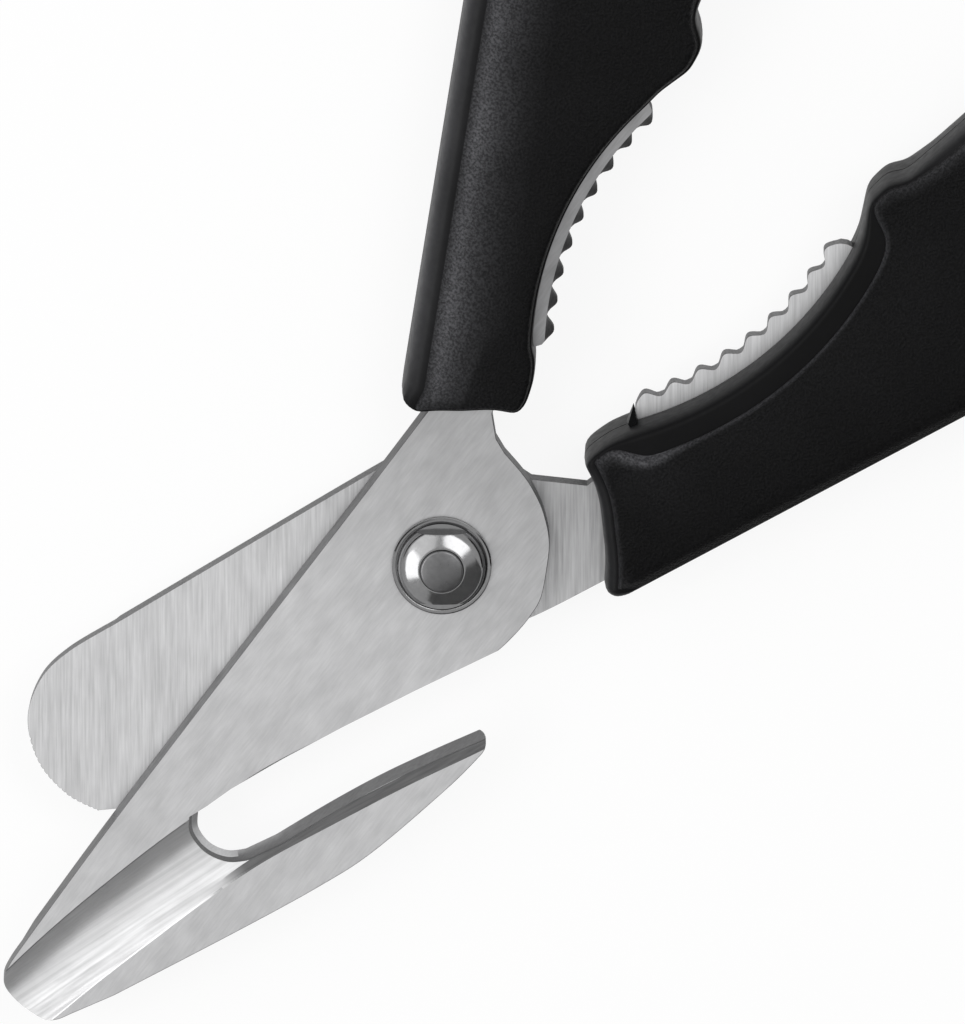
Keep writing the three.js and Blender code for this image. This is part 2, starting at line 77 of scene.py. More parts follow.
Point = tuple[float, float]
Outline = list[Vector]
Place = tuple[float, float, float]
Colour = tuple[float, float, float]
Ring = list[bmesh.types.BMVert]
Piece = bpy.types.Object


class Body(Enum):
    """The two halves that the hinge joins, by their names in the frame."""

    FRONT = "front_half"
    REAR = "rear_half"


class Slot(Enum):
    """Material slots of the record."""

    FRONT_STEEL = "front_steel"
    REAR_STEEL = "rear_steel"
    POLISHED = "polished_steel"
    PLASTIC = "black_plastic"


class Face(Enum):
    """The side of a handle that a shell makes, as the sign of its height from the parting level."""

    FRONT = 1
    BACK = -1


@dataclass(frozen=True)
class Levels:
    """Heights along the pivot axis, in millimetres, as in the solids."""

    rear_back: float = 2.1
    rear_front: float = 4.3
    front_back: float = 4.45
    front_front: float = 6.95
    parting: float = 4.375
    handle_back: float = -1.625


LEVELS = Levels()


# Outlines

def polar(radius: float, degrees: float) -> Point:
    """Return the point at a radius and an angle about the pivot."""
    angle = math.radians(degrees)
    return radius * math.cos(angle), radius * math.sin(angle)


def smooth_run(points: Sequence[Point], steps: int) -> Outline:
    """Draw a smooth open curve through a few points.

    Args:
        points: Places that the curve passes through, in millimetres.
        steps: Number of spans between each two of them.

    Returns:
        The places along the curve, with both ends.
    """
    places = [Vector((x, y, 0)) for x, y in points]
    last = len(places) - 1
    tangent = 6
    run = [places[0]]
    for i in range(last):
        before, start, end = places[max(i - 1, 0)], places[i], places[i + 1]
        after = places[min(i + 2, last)]
        leave = start + (end - before) / tangent
        arrive = end - (after - start) / tangent
        run += interpolate_bezier(start, leave, arrive, end, steps + 1)[1:]
    return [Vector((p.x, p.y)) for p in run]


def arc(centre: Point, radius: float, start: float, end: float, steps: int, flip: int = 1) -> Outline:
    """Draw an arc, mirrored across the middle plane where flip is -1.

    Args:
        centre: Middle of the arc, in millimetres.
        radius: Radius, in millimetres.
        start: First angle, in degrees.
        end: Last angle, in degrees.
        steps: Number of spans.
        flip: 1 as it is, or -1 for its mirror image.

    Returns:
        The places along the arc.
    """
    run = []
    for i in range(steps + 1):
        x, y = polar(radius, start + (end - start) * i / steps)
        run.append(Vector((flip * (centre[0] + x), centre[1] + y)))
    return run


def ease(value: float, start: float, end: float) -> float:
    """Rise smoothly from 0 at a start value to 1 at an end value."""
    share = min(max((value - start) / (end - start), 0), 1)
    return share * share * (3 - 2 * share)


def resample(outline: Outline, spacing: float) -> Outline:
    """Space the points of a closed outline evenly.

    Args:
        outline: The outline's points.
        spacing: Distance between points, in millimetres.

    Returns:
        The new points.
    """
    closed = outline + outline[:1]
    spans = [(b - a).length for a, b in zip(closed, closed[1:])]
    total = sum(spans)
    fewest = 8
    count = max(int(total / spacing), fewest)
    result, span, passed = [], 0, 0.0
    for i in range(count):
        target = total * i / count
        while passed + spans[span] < target:
            passed += spans[span]
            span += 1
        share = (target - passed) / spans[span] if spans[span] else 0.0
        result.append(closed[span].lerp(closed[span + 1], share))
    return result


def relax(outline: Outline, passes: int) -> Outline:
    """Round the corners of a closed outline by averaging neighbours.

    Args:
        outline: Evenly spaced points.
        passes: How often the points are averaged.

    Returns:
        The rounded outline.
    """
    count = len(outline)
    for _ in range(passes):
        outline = [(outline[i - 1] + 2 * p + outline[(i + 1) % count]) / 4 for i, p in enumerate(outline)]
    return outline


def indexed(points: Outline) -> KDTree:
    """Index points for finding the nearest.

    Args:
        points: The points, in millimetres.

    Returns:
        A balanced tree of them.
    """
    tree = KDTree(len(points))
    for i, p in enumerate(points):
        tree.insert((p.x, p.y, 0), i)
    tree.balance()
    return tree


def inset(outline: Outline, distances: Sequence[float], sides: Sequence[bool]) -> Outline:
    """Move each point of a closed outline inwards by its own distance, without loops at sharp corners.

    Args:
        outline: Evenly spaced points, in counter-clockwise order.
        distances: Distance for each point, in millimetres; below zero moves it outwards.
        sides: Side of each point; where it changes, the outline has a corner that stays sharp.

    Returns:
        The moved outline, with as many points.
    """
    count = len(outline)
    stride, slack, farthest = 0.3, 0.975, count // 4
    reach = max(abs(distance) for distance in distances)
    tree = indexed(outline)
    moved, clear = [], []
    for i, p in enumerate(outline):
        before, after = i - 1, i + 1
        while (outline[before] - p).length < stride and i - before < farthest:
            before -= 1
        while (outline[after % count] - p).length < stride and after - i < farthest:
            after += 1
        along = (outline[after % count] - outline[before]).normalized()
        place = p + Vector((-along.y, along.x)) * distances[i]
        moved.append(place)
        nearest = tree.find((place.x, place.y, 0))[1]
        edge = outline[(nearest + 1) % count] - outline[nearest - 1]
        free = edge.cross(place - outline[nearest]) * distances[i] >= 0
        for _, j, room in tree.find_range((place.x, place.y, 0), reach):
            asked = distances[i] if sides[i] == sides[j] else distances[j]
            free = free and room >= slack * abs(asked)
        clear.append(free)
    first = clear.index(True)
    good = first
    for step in range(first + 1, first + count + 1):
        i = step % count
        if not clear[i]:
            continue
        for missed in range(good + 1, step):
            share = (missed - good) / (step - good)
            moved[missed % count] = moved[good % count].lerp(moved[i], share)
        good = step
    return relax(moved, 1)


def offset_run(points: Outline, distance: float) -> Outline:
    """Move an open run sideways, to the right of its direction.

    Args:
        points: The run's points.
        distance: How far they move, in millimetres.

    Returns:
        The moved points.
    """
    last = len(points) - 1
    moved = []
    for i, p in enumerate(points):
        along = (points[min(i + 1, last)] - points[max(i - 1, 0)]).normalized()
        moved.append(p + Vector((along.y, -along.x)) * distance)
    return moved


def inset_outline(points: Outline, distance: float) -> Outline:
    """Move a closed, counter-clockwise outline inwards by a small distance.

    Args:
        points: The outline's points.
        distance: How far they move, in millimetres.

    Returns:
        The moved points.
    """
    count = len(points)
    least_mitre = 0.5
    moved = []
    for i, p in enumerate(points):
        into = (p - points[i - 1]).normalized()
        out = (points[(i + 1) % count] - p).normalized()
        normal = Vector((-into.y - out.y, into.x + out.x)).normalized()
        mitre = max(normal.dot(Vector((-into.y, into.x))), least_mitre)
        moved.append(p + normal * (distance / mitre))
    return moved


# Meshes

class Loft:
    """A closed shell that grows ring by ring from flat outlines."""

    def __init__(self) -> None:
        """Start with an empty mesh that can hold each point's share of painted highlight."""
        self.mesh = bmesh.new()
        self.painted_highlight = self.mesh.verts.layers.float.new(PAINTED_HIGHLIGHT)

    def ring(self, outline: Outline, level: float) -> Ring:
        """Lay a closed ring of edges.

        Args:
            outline: Points of the ring, in millimetres.
            level: Height of the ring, in millimetres.

        Returns:
            The ring's vertices in order.
        """
        verts = [self.mesh.verts.new((p.x * MM, p.y * MM, level * MM)) for p in outline]
        for a, b in zip(verts, verts[1:] + verts[:1]):
            self.mesh.edges.new((a, b))
        return verts

    def edges(self, ring: Ring) -> list[bmesh.types.BMEdge]:
        """Return the edges between a ring's neighbours."""
        return [self.mesh.edges.get((a, b)) for a, b in zip(ring, ring[1:] + ring[:1])]

    def grow(self, ring: Ring, outline: Outline, level: float) -> Ring:
        """Extrude a ring to a new outline at another level, in millimetres, and return the new ring."""
        return self.grow_to(ring, [Vector((p.x, p.y, level)) for p in outline])

    def grow_to(self, ring: Ring, places: Sequence[Vector]) -> Ring:
        """Extrude a ring to new places in space.

        Args:
            ring: The ring to start from.
            places: Where its points go, in millimetres.

        Returns:
            The new ring's vertices in the same order.
        """
        made = bmesh.ops.extrude_edge_only(self.mesh, edges=self.edges(ring))["geom"]
        fresh = {tuple(v.co): v for v in made if isinstance(v, bmesh.types.BMVert)}
        grown = [fresh[tuple(v.co)] for v in ring]
        return self.move(grown, places)

    @staticmethod
    def move(ring: Ring, places: Sequence[Vector]) -> Ring:
        """Move a ring's points.

        Args:
            ring: The ring.
            places: Where its points go, in millimetres.

        Returns:
            The ring.
        """
        for vert, place in zip(ring, places):
            vert.co = place * MM
        return ring

    def cap(self, *rings: Ring) -> None:
        """Close one ring with a face, or fill the flat between several rings.

        Args:
            rings: The rings that bound the cap.
        """
        edges = [edge for ring in rings for edge in self.edges(ring)]
        if len(rings) == 1:
            bmesh.ops.contextual_create(self.mesh, geom=edges)
        else:
            bmesh.ops.triangle_fill(self.mesh, edges=edges, use_beauty=True)

    def piece(self, name: str) -> Piece:
        """Turn the shell into an object at the origin.

        Args:
            name: Name of the object.

        Returns:
            The object, linked to the scene.
        """
        bmesh.ops.remove_doubles(self.mesh, verts=self.mesh.verts, dist=MM * WELD)
        bmesh.ops.recalc_face_normals(self.mesh, faces=self.mesh.faces)
        mesh = bpy.data.meshes.new(name)
        self.mesh.to_mesh(mesh)
        self.mesh.free()
        result = bpy.data.objects.new(name, mesh)
        bpy.context.scene.collection.objects.link(result)
        return result


def lofted(name: str, *levels: tuple[Outline, float]) -> Piece:
    """Loft a closed piece through outlines at rising heights.

    Args:
        name: Name of the object.
        levels: Outline and height of each ring, in millimetres, all with as many points.

    Returns:
        The object, linked to the scene.
    """
    shell = Loft()
    first = last = shell.ring(*levels[0])
    for outline, level in levels[1:]:
        last = shell.grow(last, outline, level)
    shell.cap(first)
    shell.cap(last)
    return shell.piece(name)


def turned(name: str, profile: Sequence[Point], steps: int = 96) -> Piece:
    """Spin a profile about the pivot axis.

    Args:
        name: Name of the object.
        profile: Closed run of radius and height points, in millimetres.
        steps: Number of steps in the full turn.

    Returns:
        The object, linked to the scene.
    """
    shell = Loft()
    verts = [shell.mesh.verts.new((radius * MM, 0, level * MM)) for radius, level in profile]
    edges = [shell.mesh.edges.new(pair) for pair in zip(verts, verts[1:])]
    axis = {"cent": (0, 0, 0), "axis": (0, 0, 1), "angle": math.tau, "steps": steps, "use_merge": True}
    bmesh.ops.spin(shell.mesh, geom=verts + edges, **axis)
    return shell.piece(name)


def cut(piece: Piece, cutter: Piece) -> None:
    """Take a cutter's room out of a piece, and delete the cutter.

    Args:
        piece: The object to cut.
        cutter: A closed object.
    """
    modifier = piece.modifiers.new("cut", "BOOLEAN")
    modifier.operation = "DIFFERENCE"
    modifier.solver = "EXACT"
    modifier.object = cutter
    graph = bpy.context.evaluated_depsgraph_get()
    carved = bpy.data.meshes.new_from_object(piece.evaluated_get(graph))
    carved.name = piece.name
    piece.modifiers.clear()
    piece.data = carved
    bpy.data.objects.remove(cutter, do_unlink=True)


def drill(piece: Piece, radius: float, low: float, high: float) -> None:
    """Cut a round hole on the pivot axis between two heights, all in millimetres."""
    cut(piece, turned("pin_cutter", [(0, low), (radius, low), (radius, high), (0, high)]))


def shade(piece: Piece, crease: float) -> None:
    """Shade a piece smooth, with sharp edges where faces meet at an angle or bound a broad flat face.

    Args:
        piece: The object to shade.
        crease: Angle above which an edge is sharp, in degrees.
    """
    mesh = bmesh.new()
    mesh.from_mesh(piece.data)
    quad = 4
    for face in mesh.faces:
        face.smooth = True
    for edge in mesh.edges:
        broad = any(len(face.verts) > quad for face in edge.link_faces)
        edge.smooth = not broad and edge.calc_face_angle(math.pi) < math.radians(crease)
    mesh.to_mesh(piece.data)
    mesh.free()


# Finishes

class Board:
    """The node tree of one material, with short calls for the nodes that the finishes share."""

    def __init__(self, name: str) -> None:
        """Start a material with a lone Principled shader.

        Args:
            name: Name of the material.
        """
        self.material = bpy.data.materials.new(name)
        self.material.use_nodes = True
        self.tree = self.material.node_tree
        self.shader = self.tree.nodes["Principled BSDF"]
        self.place = self.tree.nodes.new("ShaderNodeTexCoord").outputs["Object"]

    def node(self, kind: str, **inputs: object) -> Node:
        """Add a node and set or link its inputs.

        Args:
            kind: The node's type, without its ShaderNode prefix.
            inputs: Values or sockets by input name, with spaces written as underscores.

        Returns:
            The node.
        """
        node = self.tree.nodes.new("ShaderNode" + kind)
        for name, value in inputs.items():
            self.put(node.inputs[name.replace("_", " ")], value)
        return node

    def put(self, socket: NodeSocket, value: object) -> None:
        """Link a socket to another, or set its value.

        Args:
            socket: The input socket.
            value: A socket to link, or a value.
        """
        if isinstance(value, NodeSocket):
            self.tree.links.new(value, socket)
        else:
            socket.default_value = value

    def grain(self, size: Sequence[float], turn: float = 0.0, **noise: float) -> NodeSocket:
        """Add noise whose grains have a size in millimetres along three turned axes.

        Args:
            size: Size of the grains along X, Y and Z, in millimetres.
            turn: Turn of those axes about Z, in degrees.
            noise: Further inputs of the noise node.

        Returns:
            The noise's factor.
        """
        mapping = self.node("Mapping", Vector=self.place)
        mapping.vector_type = "TEXTURE"
        mapping.inputs["Scale"].default_value = [s * MM for s in size]
        mapping.inputs["Rotation"].default_value = (0, 0, math.radians(turn))
        return self.node("TexNoise", Vector=mapping.outputs["Vector"], Scale=1.0, **noise).outputs["Fac"]

    def ramp(self, factor: NodeSocket, start: Point, end: Point) -> NodeSocket:
        """Map a factor evenly between two pairs of its value and the result's, and return the result."""
        spans = {"From_Min": start[0], "From_Max": end[0], "To_Min": start[1], "To_Max": end[1]}
        return self.node("MapRange", Value=factor, **spans).outputs["Result"]

    def vary(
        self, noise: NodeSocket, spread: float, mean: float = 1.0, span: Point = NOISE_SPAN,
    ) -> NodeSocket:
        """Turn noise, from one end of its span to the other, into a factor that is spread about a mean."""
        return self.ramp(noise, (span[0], mean - spread), (span[1], mean + spread))

    def attribute(self, name: str) -> NodeSocket:
        """Read a number that the mesh stores.

        Args:
            name: Name of the mesh attribute.

        Returns:
            The number's socket.
        """
        node = self.node("Attribute")
        node.attribute_name = name
        return node.outputs["Fac"]

    def product(self, a: object, b: object) -> NodeSocket:
        """Multiply two values.

        Args:
            a: One factor.
            b: The other factor.

        Returns:
            The result's socket.
        """
        math_node = self.tree.nodes.new("ShaderNodeMath")
        math_node.operation = "MULTIPLY"
        self.put(math_node.inputs[0], a)
        self.put(math_node.inputs[1], b)
        return math_node.outputs[0]

    def tint(self, colour: Sequence[float], factor: NodeSocket) -> None:
        """Give the shader a colour that is scaled by a factor.

        Args:
            colour: The colour.
            factor: What scales it.
        """
        scaled = self.tree.nodes.new("ShaderNodeVectorMath")
        scaled.operation = "SCALE"
        scaled.inputs[0].default_value = colour
        self.put(scaled.inputs["Scale"], factor)
        self.put(self.shader.inputs["Base Color"], scaled.outputs[0])

    def bump(self, height: NodeSocket, depth: float) -> None:
        """Give the shader a bump of a depth in millimetres."""
        bump = self.node("Bump", Height=height, Distance=depth * MM, Strength=1.0)
        self.put(self.shader.inputs["Normal"], bump.outputs["Normal"])


@dataclass(frozen=True)
class BrushedSteel:
    """Steel with fine straight brush lines and soft cloudy patches.

    Attributes:
        name: Name of the material.
        colour: Colour of the flats.
        roughness: Mean roughness.
        turn: Direction of the brush lines, in degrees from the Y axis.
        line_width: Width of the lines, in millimetres.
        line_length: Length of the lines, in millimetres.
        contrast: How far the lines differ from the mean tone.
        cloud: How far the patches differ from it.
        depth: Depth of the lines, in millimetres.
        wall: Tone of a steep wall, painted shade that stands in for the darker reflections of steep faces.
        neck_shade: Tone past the pivot, painted shade that darkens the plate towards the handles.
        neck_run: Where the tone starts and stops changing, as heights on the Y axis in millimetres.
        cloud_size: Size of the patches, in millimetres.
        wall_roughness: How many times rougher a sheared wall is.
        rough_spread: Share by which the lines change the roughness.
        rough_span: Values of the lines' noise that reach that share.
    """

    name: str
    colour: Colour
    roughness: float
    turn: float
    line_width: float
    line_length: float
    contrast: float
    cloud: float
    depth: float
    wall: float
    neck_shade: float = 1.0
    neck_run: tuple[float, float] = (-12.0, 12.0)
    cloud_size: Place = (1.6, 3.4, 1.6)
    wall_roughness: float = 1.7
    rough_spread: float = 0.15
    rough_span: Point = (0.25, 0.75)

    @cache
    def material(self) -> Material:
        """Build the finish as a material, once.

        Returns:
            The material.
        """
        board = Board(self.name)
        shader = board.shader
        shader.inputs["Metallic"].default_value = 1.0
        height = board.node("SeparateXYZ", Vector=board.place).outputs["Y"]
        # Painted shade: the plate darkens past the pivot, towards the handles.
        painted_neck_shade = board.ramp(height, (self.neck_run[0] * MM, 1.0), (self.neck_run[1] * MM, self.neck_shade))
        lines = board.grain((self.line_width, self.line_length, self.line_width), self.turn, Detail=3.0)
        cloud = board.grain(self.cloud_size, self.turn, Detail=4.0)
        streak = board.vary(lines, self.contrast)
        patch = board.vary(cloud, self.cloud)
        # Painted shade: steep walls get a darker colour; their extra roughness below is real.
        wall = board.attribute(PAINTED_WALL_SHADE)
        shade_of_wall = board.ramp(wall, (0.0, 1.0), (1.0, self.wall))
        tone = board.product(board.product(streak, patch), board.product(shade_of_wall, painted_neck_shade))
        board.tint(self.colour, tone)
        rough = board.vary(lines, -self.rough_spread * self.roughness, self.roughness, self.rough_span)
        rough_of_wall = board.ramp(wall, (0.0, 1.0), (1.0, self.wall_roughness))
        board.put(shader.inputs["Roughness"], board.product(rough, rough_of_wall))
        board.bump(lines, self.depth)
        return board.material


@dataclass(frozen=True)
class PolishedSteel:
    """Bright turned steel with faint scuffs, whose size and depth are in millimetres."""

    name: str
    colour: Colour
    roughness: float
    scuff_size: float = 0.5
    scuff_tone: float = 0.06
    rough_mean: float = 1.1
    rough_spread: float = 0.2
    rough_span: Point = (0.3, 0.8)
    depth: float = 0.0012

    @cache
    def material(self) -> Material:
        """Build the finish as a material, once.

        Returns:
            The material.
        """
        board = Board(self.name)
        board.shader.inputs["Metallic"].default_value = 1.0
        scuff = board.grain((self.scuff_size,) * 3, Detail=5.0)
        board.tint(self.colour, board.vary(scuff, self.scuff_tone))
        spread, mean = self.roughness * self.rough_spread, self.roughness * self.rough_mean
        board.put(board.shader.inputs["Roughness"], board.vary(scuff, spread, mean, self.rough_span))
        board.bump(scuff, self.depth)
        return board.material


@dataclass(frozen=True)
class MouldedPlastic:
    """Black plastic, smooth or with a pebbled mould grain, lightened by painted highlight where the mesh
    stores a share of it.

    Attributes:
        name: Name of the material.
        colour: Colour where it isn't worn.
        roughness: Mean roughness.
        grain: Size of the pebbles, in millimetres.
        speckle: How far the pebbles' tops differ from the mean tone.
        depth: Depth of the grain, in millimetres.
        painted_highlight: How many times lighter the plastic is painted where the lamps' highlight would
            lie.
        cloud: How far wide patches differ from the mean tone.
        cloud_size: Size of those patches, in millimetres.
        specular: Strength of the sheen.
        rough_spread: Share by which the pebbles change the roughness.
        top_span: Values of the pebbles' noise between their pits and tops, for the tone.
        pit_span: The same for their height.
    """

    name: str
    colour: Colour
    roughness: float
    grain: float
    speckle: float
    depth: float
    painted_highlight: float
    cloud: float = 0.15
    cloud_size: float = 9.0
    specular: float = 0.06
    rough_spread: float = 0.1
    top_span: Point = (0.38, 0.64)
    pit_span: Point = (0.35, 0.7)

    @cache
    def material(self) -> Material:
        """Build the finish as a material, once.

        Returns:
            The material.
        """
        board = Board(self.name)
        board.shader.inputs["Specular IOR Level"].default_value = self.specular
        pebble = board.grain((self.grain,) * 3, Detail=2.0, Roughness=0.6)
        cloud = board.grain((self.cloud_size,) * 3, Detail=3.0)
        # Painted highlight: the colour is lifted where the mesh stores a share, on the rounded sides and
        # panel edges that the lamps would light.
        highlight_gain = board.ramp(board.attribute(PAINTED_HIGHLIGHT), (0.0, 1.0), (1.0, self.painted_highlight))
        tops = board.vary(pebble, self.speckle, span=self.top_span)
        speckle = board.product(board.vary(cloud, self.cloud), tops)
        board.tint(self.colour, board.product(speckle, highlight_gain))
        rough = board.vary(pebble, -self.rough_spread * self.roughness, self.roughness)
        board.put(board.shader.inputs["Roughness"], rough)
        low, high = self.pit_span
        board.bump(board.ramp(pebble, (low, 0.0), (high, 1.0)), self.depth)
        return board.material


@dataclass(frozen=True)
class MattSheet:
    """Matt paper or felt for the studio, with a grain in millimetres and a spread of tone between flecks."""

    name: str
    tone: float
    grain: float
    detail: float
    spread: float
    roughness: float
    specular: float

    def board(self) -> Board:
        """Build the finish.

        Returns:
            The material's board, for nodes that follow.
        """
        board = Board(self.name)
        fleck = board.grain((self.grain,) * 3, Detail=self.detail)
        board.tint((self.tone,) * 3, board.vary(fleck, self.spread))
        board.shader.inputs["Roughness"].default_value = self.roughness
        board.shader.inputs["Specular IOR Level"].default_value = self.specular
        return board


# The wall and neck tones below are painted shade: darker steep faces and a darker plate past the pivot.
FRONT_STEEL = BrushedSteel(
    name="front_brushed_steel", colour=(0.495, 0.495, 0.5), roughness=0.38, turn=0, line_width=0.2,
    line_length=2.2, contrast=0.06, cloud=0.08, depth=0.0006, wall=0.18, neck_shade=0.74)
GROOVE_STEEL = BrushedSteel(
    name="groove_ground_steel", colour=(0.5, 0.5, 0.504), roughness=0.57, turn=-18.7, line_width=0.35,
    line_length=46.0, contrast=0.08, cloud=0.05, depth=0.0006, wall=0.2)
LEFT_STRIP_STEEL = BrushedSteel(
    name="strip_ground_steel", colour=(0.25, 0.25, 0.253), roughness=0.4, turn=0, line_width=0.2,
    line_length=2.2, contrast=0.06, cloud=0.14, depth=0.0006, wall=0.27)
REAR_STEEL = BrushedSteel(
    name="rear_brushed_steel", colour=(0.515, 0.515, 0.52), roughness=0.42, turn=37.4, line_width=0.22,
    line_length=6.0, contrast=0.15, cloud=0.05, depth=0.0012, wall=0.18, neck_shade=0.7)
RIGHT_STRIP_STEEL = replace(REAR_STEEL, name="right_strip_steel", neck_shade=1.0)
COLLAR_STEEL = PolishedSteel(name="collar_polished_steel", colour=(0.21, 0.21, 0.212), roughness=0.15)
PIN_STEEL = PolishedSteel(name="pin_dull_steel", colour=(0.13, 0.13, 0.132), roughness=0.3)
SMOOTH_PLASTIC = MouldedPlastic(
    name="handle_smooth_plastic", colour=(0.0034, 0.0034, 0.0036), roughness=0.42, grain=0.9, speckle=0.06,
    depth=0.008, painted_highlight=14.0)
PEBBLED_PLASTIC = MouldedPlastic(
    name="handle_pebbled_plastic", colour=(0.003, 0.003, 0.0032), roughness=0.44, grain=0.26, speckle=0.45,
    depth=0.07, painted_highlight=22.0)
FLOOR_PAPER = MattSheet(
    name="floor_paper", tone=0.9, grain=0.8, detail=3.0, spread=0.005, roughness=0.9, specular=0.1)

Finish = BrushedSteel | PolishedSteel | MouldedPlastic


def paint_wall_shade(piece: Piece, most: float) -> None:
    """Store how much painted shade each face corner gets in the steel finishes, from 0 on a flat to the most
    on a steep wall.

    Args:
        piece: The object.
        most: Value on its steep walls, up to 1.
    """
    mesh = piece.data
    attribute = mesh.attributes.new(PAINTED_WALL_SHADE, "FLOAT", "CORNER")
    for polygon in mesh.polygons:
        flat, steep = HOLLOW_SLOPES if polygon.material_index else PLATE_SLOPES
        for corner in polygon.loop_indices:
            upright = abs(mesh.corner_normals[corner].vector.z)
            attribute.data[corner].value = most * min(max((flat - upright) / (flat - steep), 0), 1)


def dress(
    piece: Piece, body: Body, slot: Slot, *finishes: Finish,
    crease: float = PLATE_CREASE, wall: float = 0.0, node: str = "",
) -> None:
    """Shade a piece, and give it its finishes and the body that it rides on.

    Args:
        piece: The object.
        body: The half that it belongs to.
        slot: Not used.
        finishes: Finishes by material index.
        crease: Angle above which its edges are sharp, in degrees.
        wall: How dark the painted shade on its steep walls is, up to 1.
        node: The solid that it stands for, where it is the main piece of one.
    """
    shade(piece, crease)
    if wall:
        paint_wall_shade(piece, wall)
    for finish in finishes:
        piece.data.materials.append(finish.material())
    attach(piece, body.value)
    if node:
        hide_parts(node)
    LOG.info("%s: %d faces on %s", piece.name, len(piece.data.polygons), body.value)


# Sub-assemblies

@dataclass
class CrackerStrip:
    """The toothed arc of steel along the inner side of a handle.

    Lengths are in millimetres and angles in degrees, in the shared frame. The numbers are those of the right
    side; flip is -1 for their mirror image on the left.
    """

    name: str
    flip: int
    low: float
    high: float
    bevel_front: bool
    body: Body
    slot: Slot
    finish: BrushedSteel
    wall_tone: float
    centre: Point = (-23.4, 46.7)
    tip_radius: float = 35.2
    tooth_height: float = 0.95
    depth: float = 10.0
    start: float = -36.0
    tooth_count: int = 9
    tooth_pitch: float = 5.1
    tooth_steps: int = 14
    back_steps: int = 24
    bevel: float = 1.25
    edge: float = 0.12
    eased_tips: float = 0.1
    relief: float = 0.5
    end_round: float = 1.3

    @property
    def end(self) -> float:
        """Angle at which the strip ends, in degrees."""
        return self.start + self.tooth_count * self.tooth_pitch

    def outline(self, cut_back: float) -> Outline:
        """Draw the strip with its teeth cut back towards their roots.

        Args:
            cut_back: Share of the teeth's height that is cut off.

        Returns:
            The outline.
        """
        root = self.tip_radius + self.tooth_height
        points = []
        for i in range(self.tooth_count * self.tooth_steps + 1):
            swell = (1 - math.cos(math.tau * i / self.tooth_steps)) / 2 * (1 - cut_back)
            angle = self.start + self.tooth_pitch * i / self.tooth_steps
            room = min(angle - self.start, self.end - angle) / self.end_round
            rounding = 1 - math.sqrt(max(1 - (1 - min(room, 1)) ** 2, 0))
            radius = root - self.tooth_height * swell + rounding * self.tooth_height
            points += arc(self.centre, radius, angle, angle, 1, self.flip)[:1]
        back_radius = self.tip_radius + self.depth
        return points + arc(self.centre, back_radius, self.end, self.start, self.back_steps, self.flip)

    def build(self) -> Piece:
        """Loft the strip from its back to its front face.

        Returns:
            The object.
        """
        full, roots, eased = self.outline(0), self.outline(1), self.outline(self.eased_tips)
        if self.bevel_front:
            return lofted(self.name, (full, self.low), (full, self.high - self.bevel), (roots, self.high))
        foot = (roots, self.low), (full, self.low + self.relief)
        return lofted(self.name, *foot, (full, self.high - self.edge), (eased, self.high))

    def add(self) -> None:
        """Build the strip and dress it."""
        dress(self.build(), self.body, self.slot, self.finish, wall=self.wall_tone)


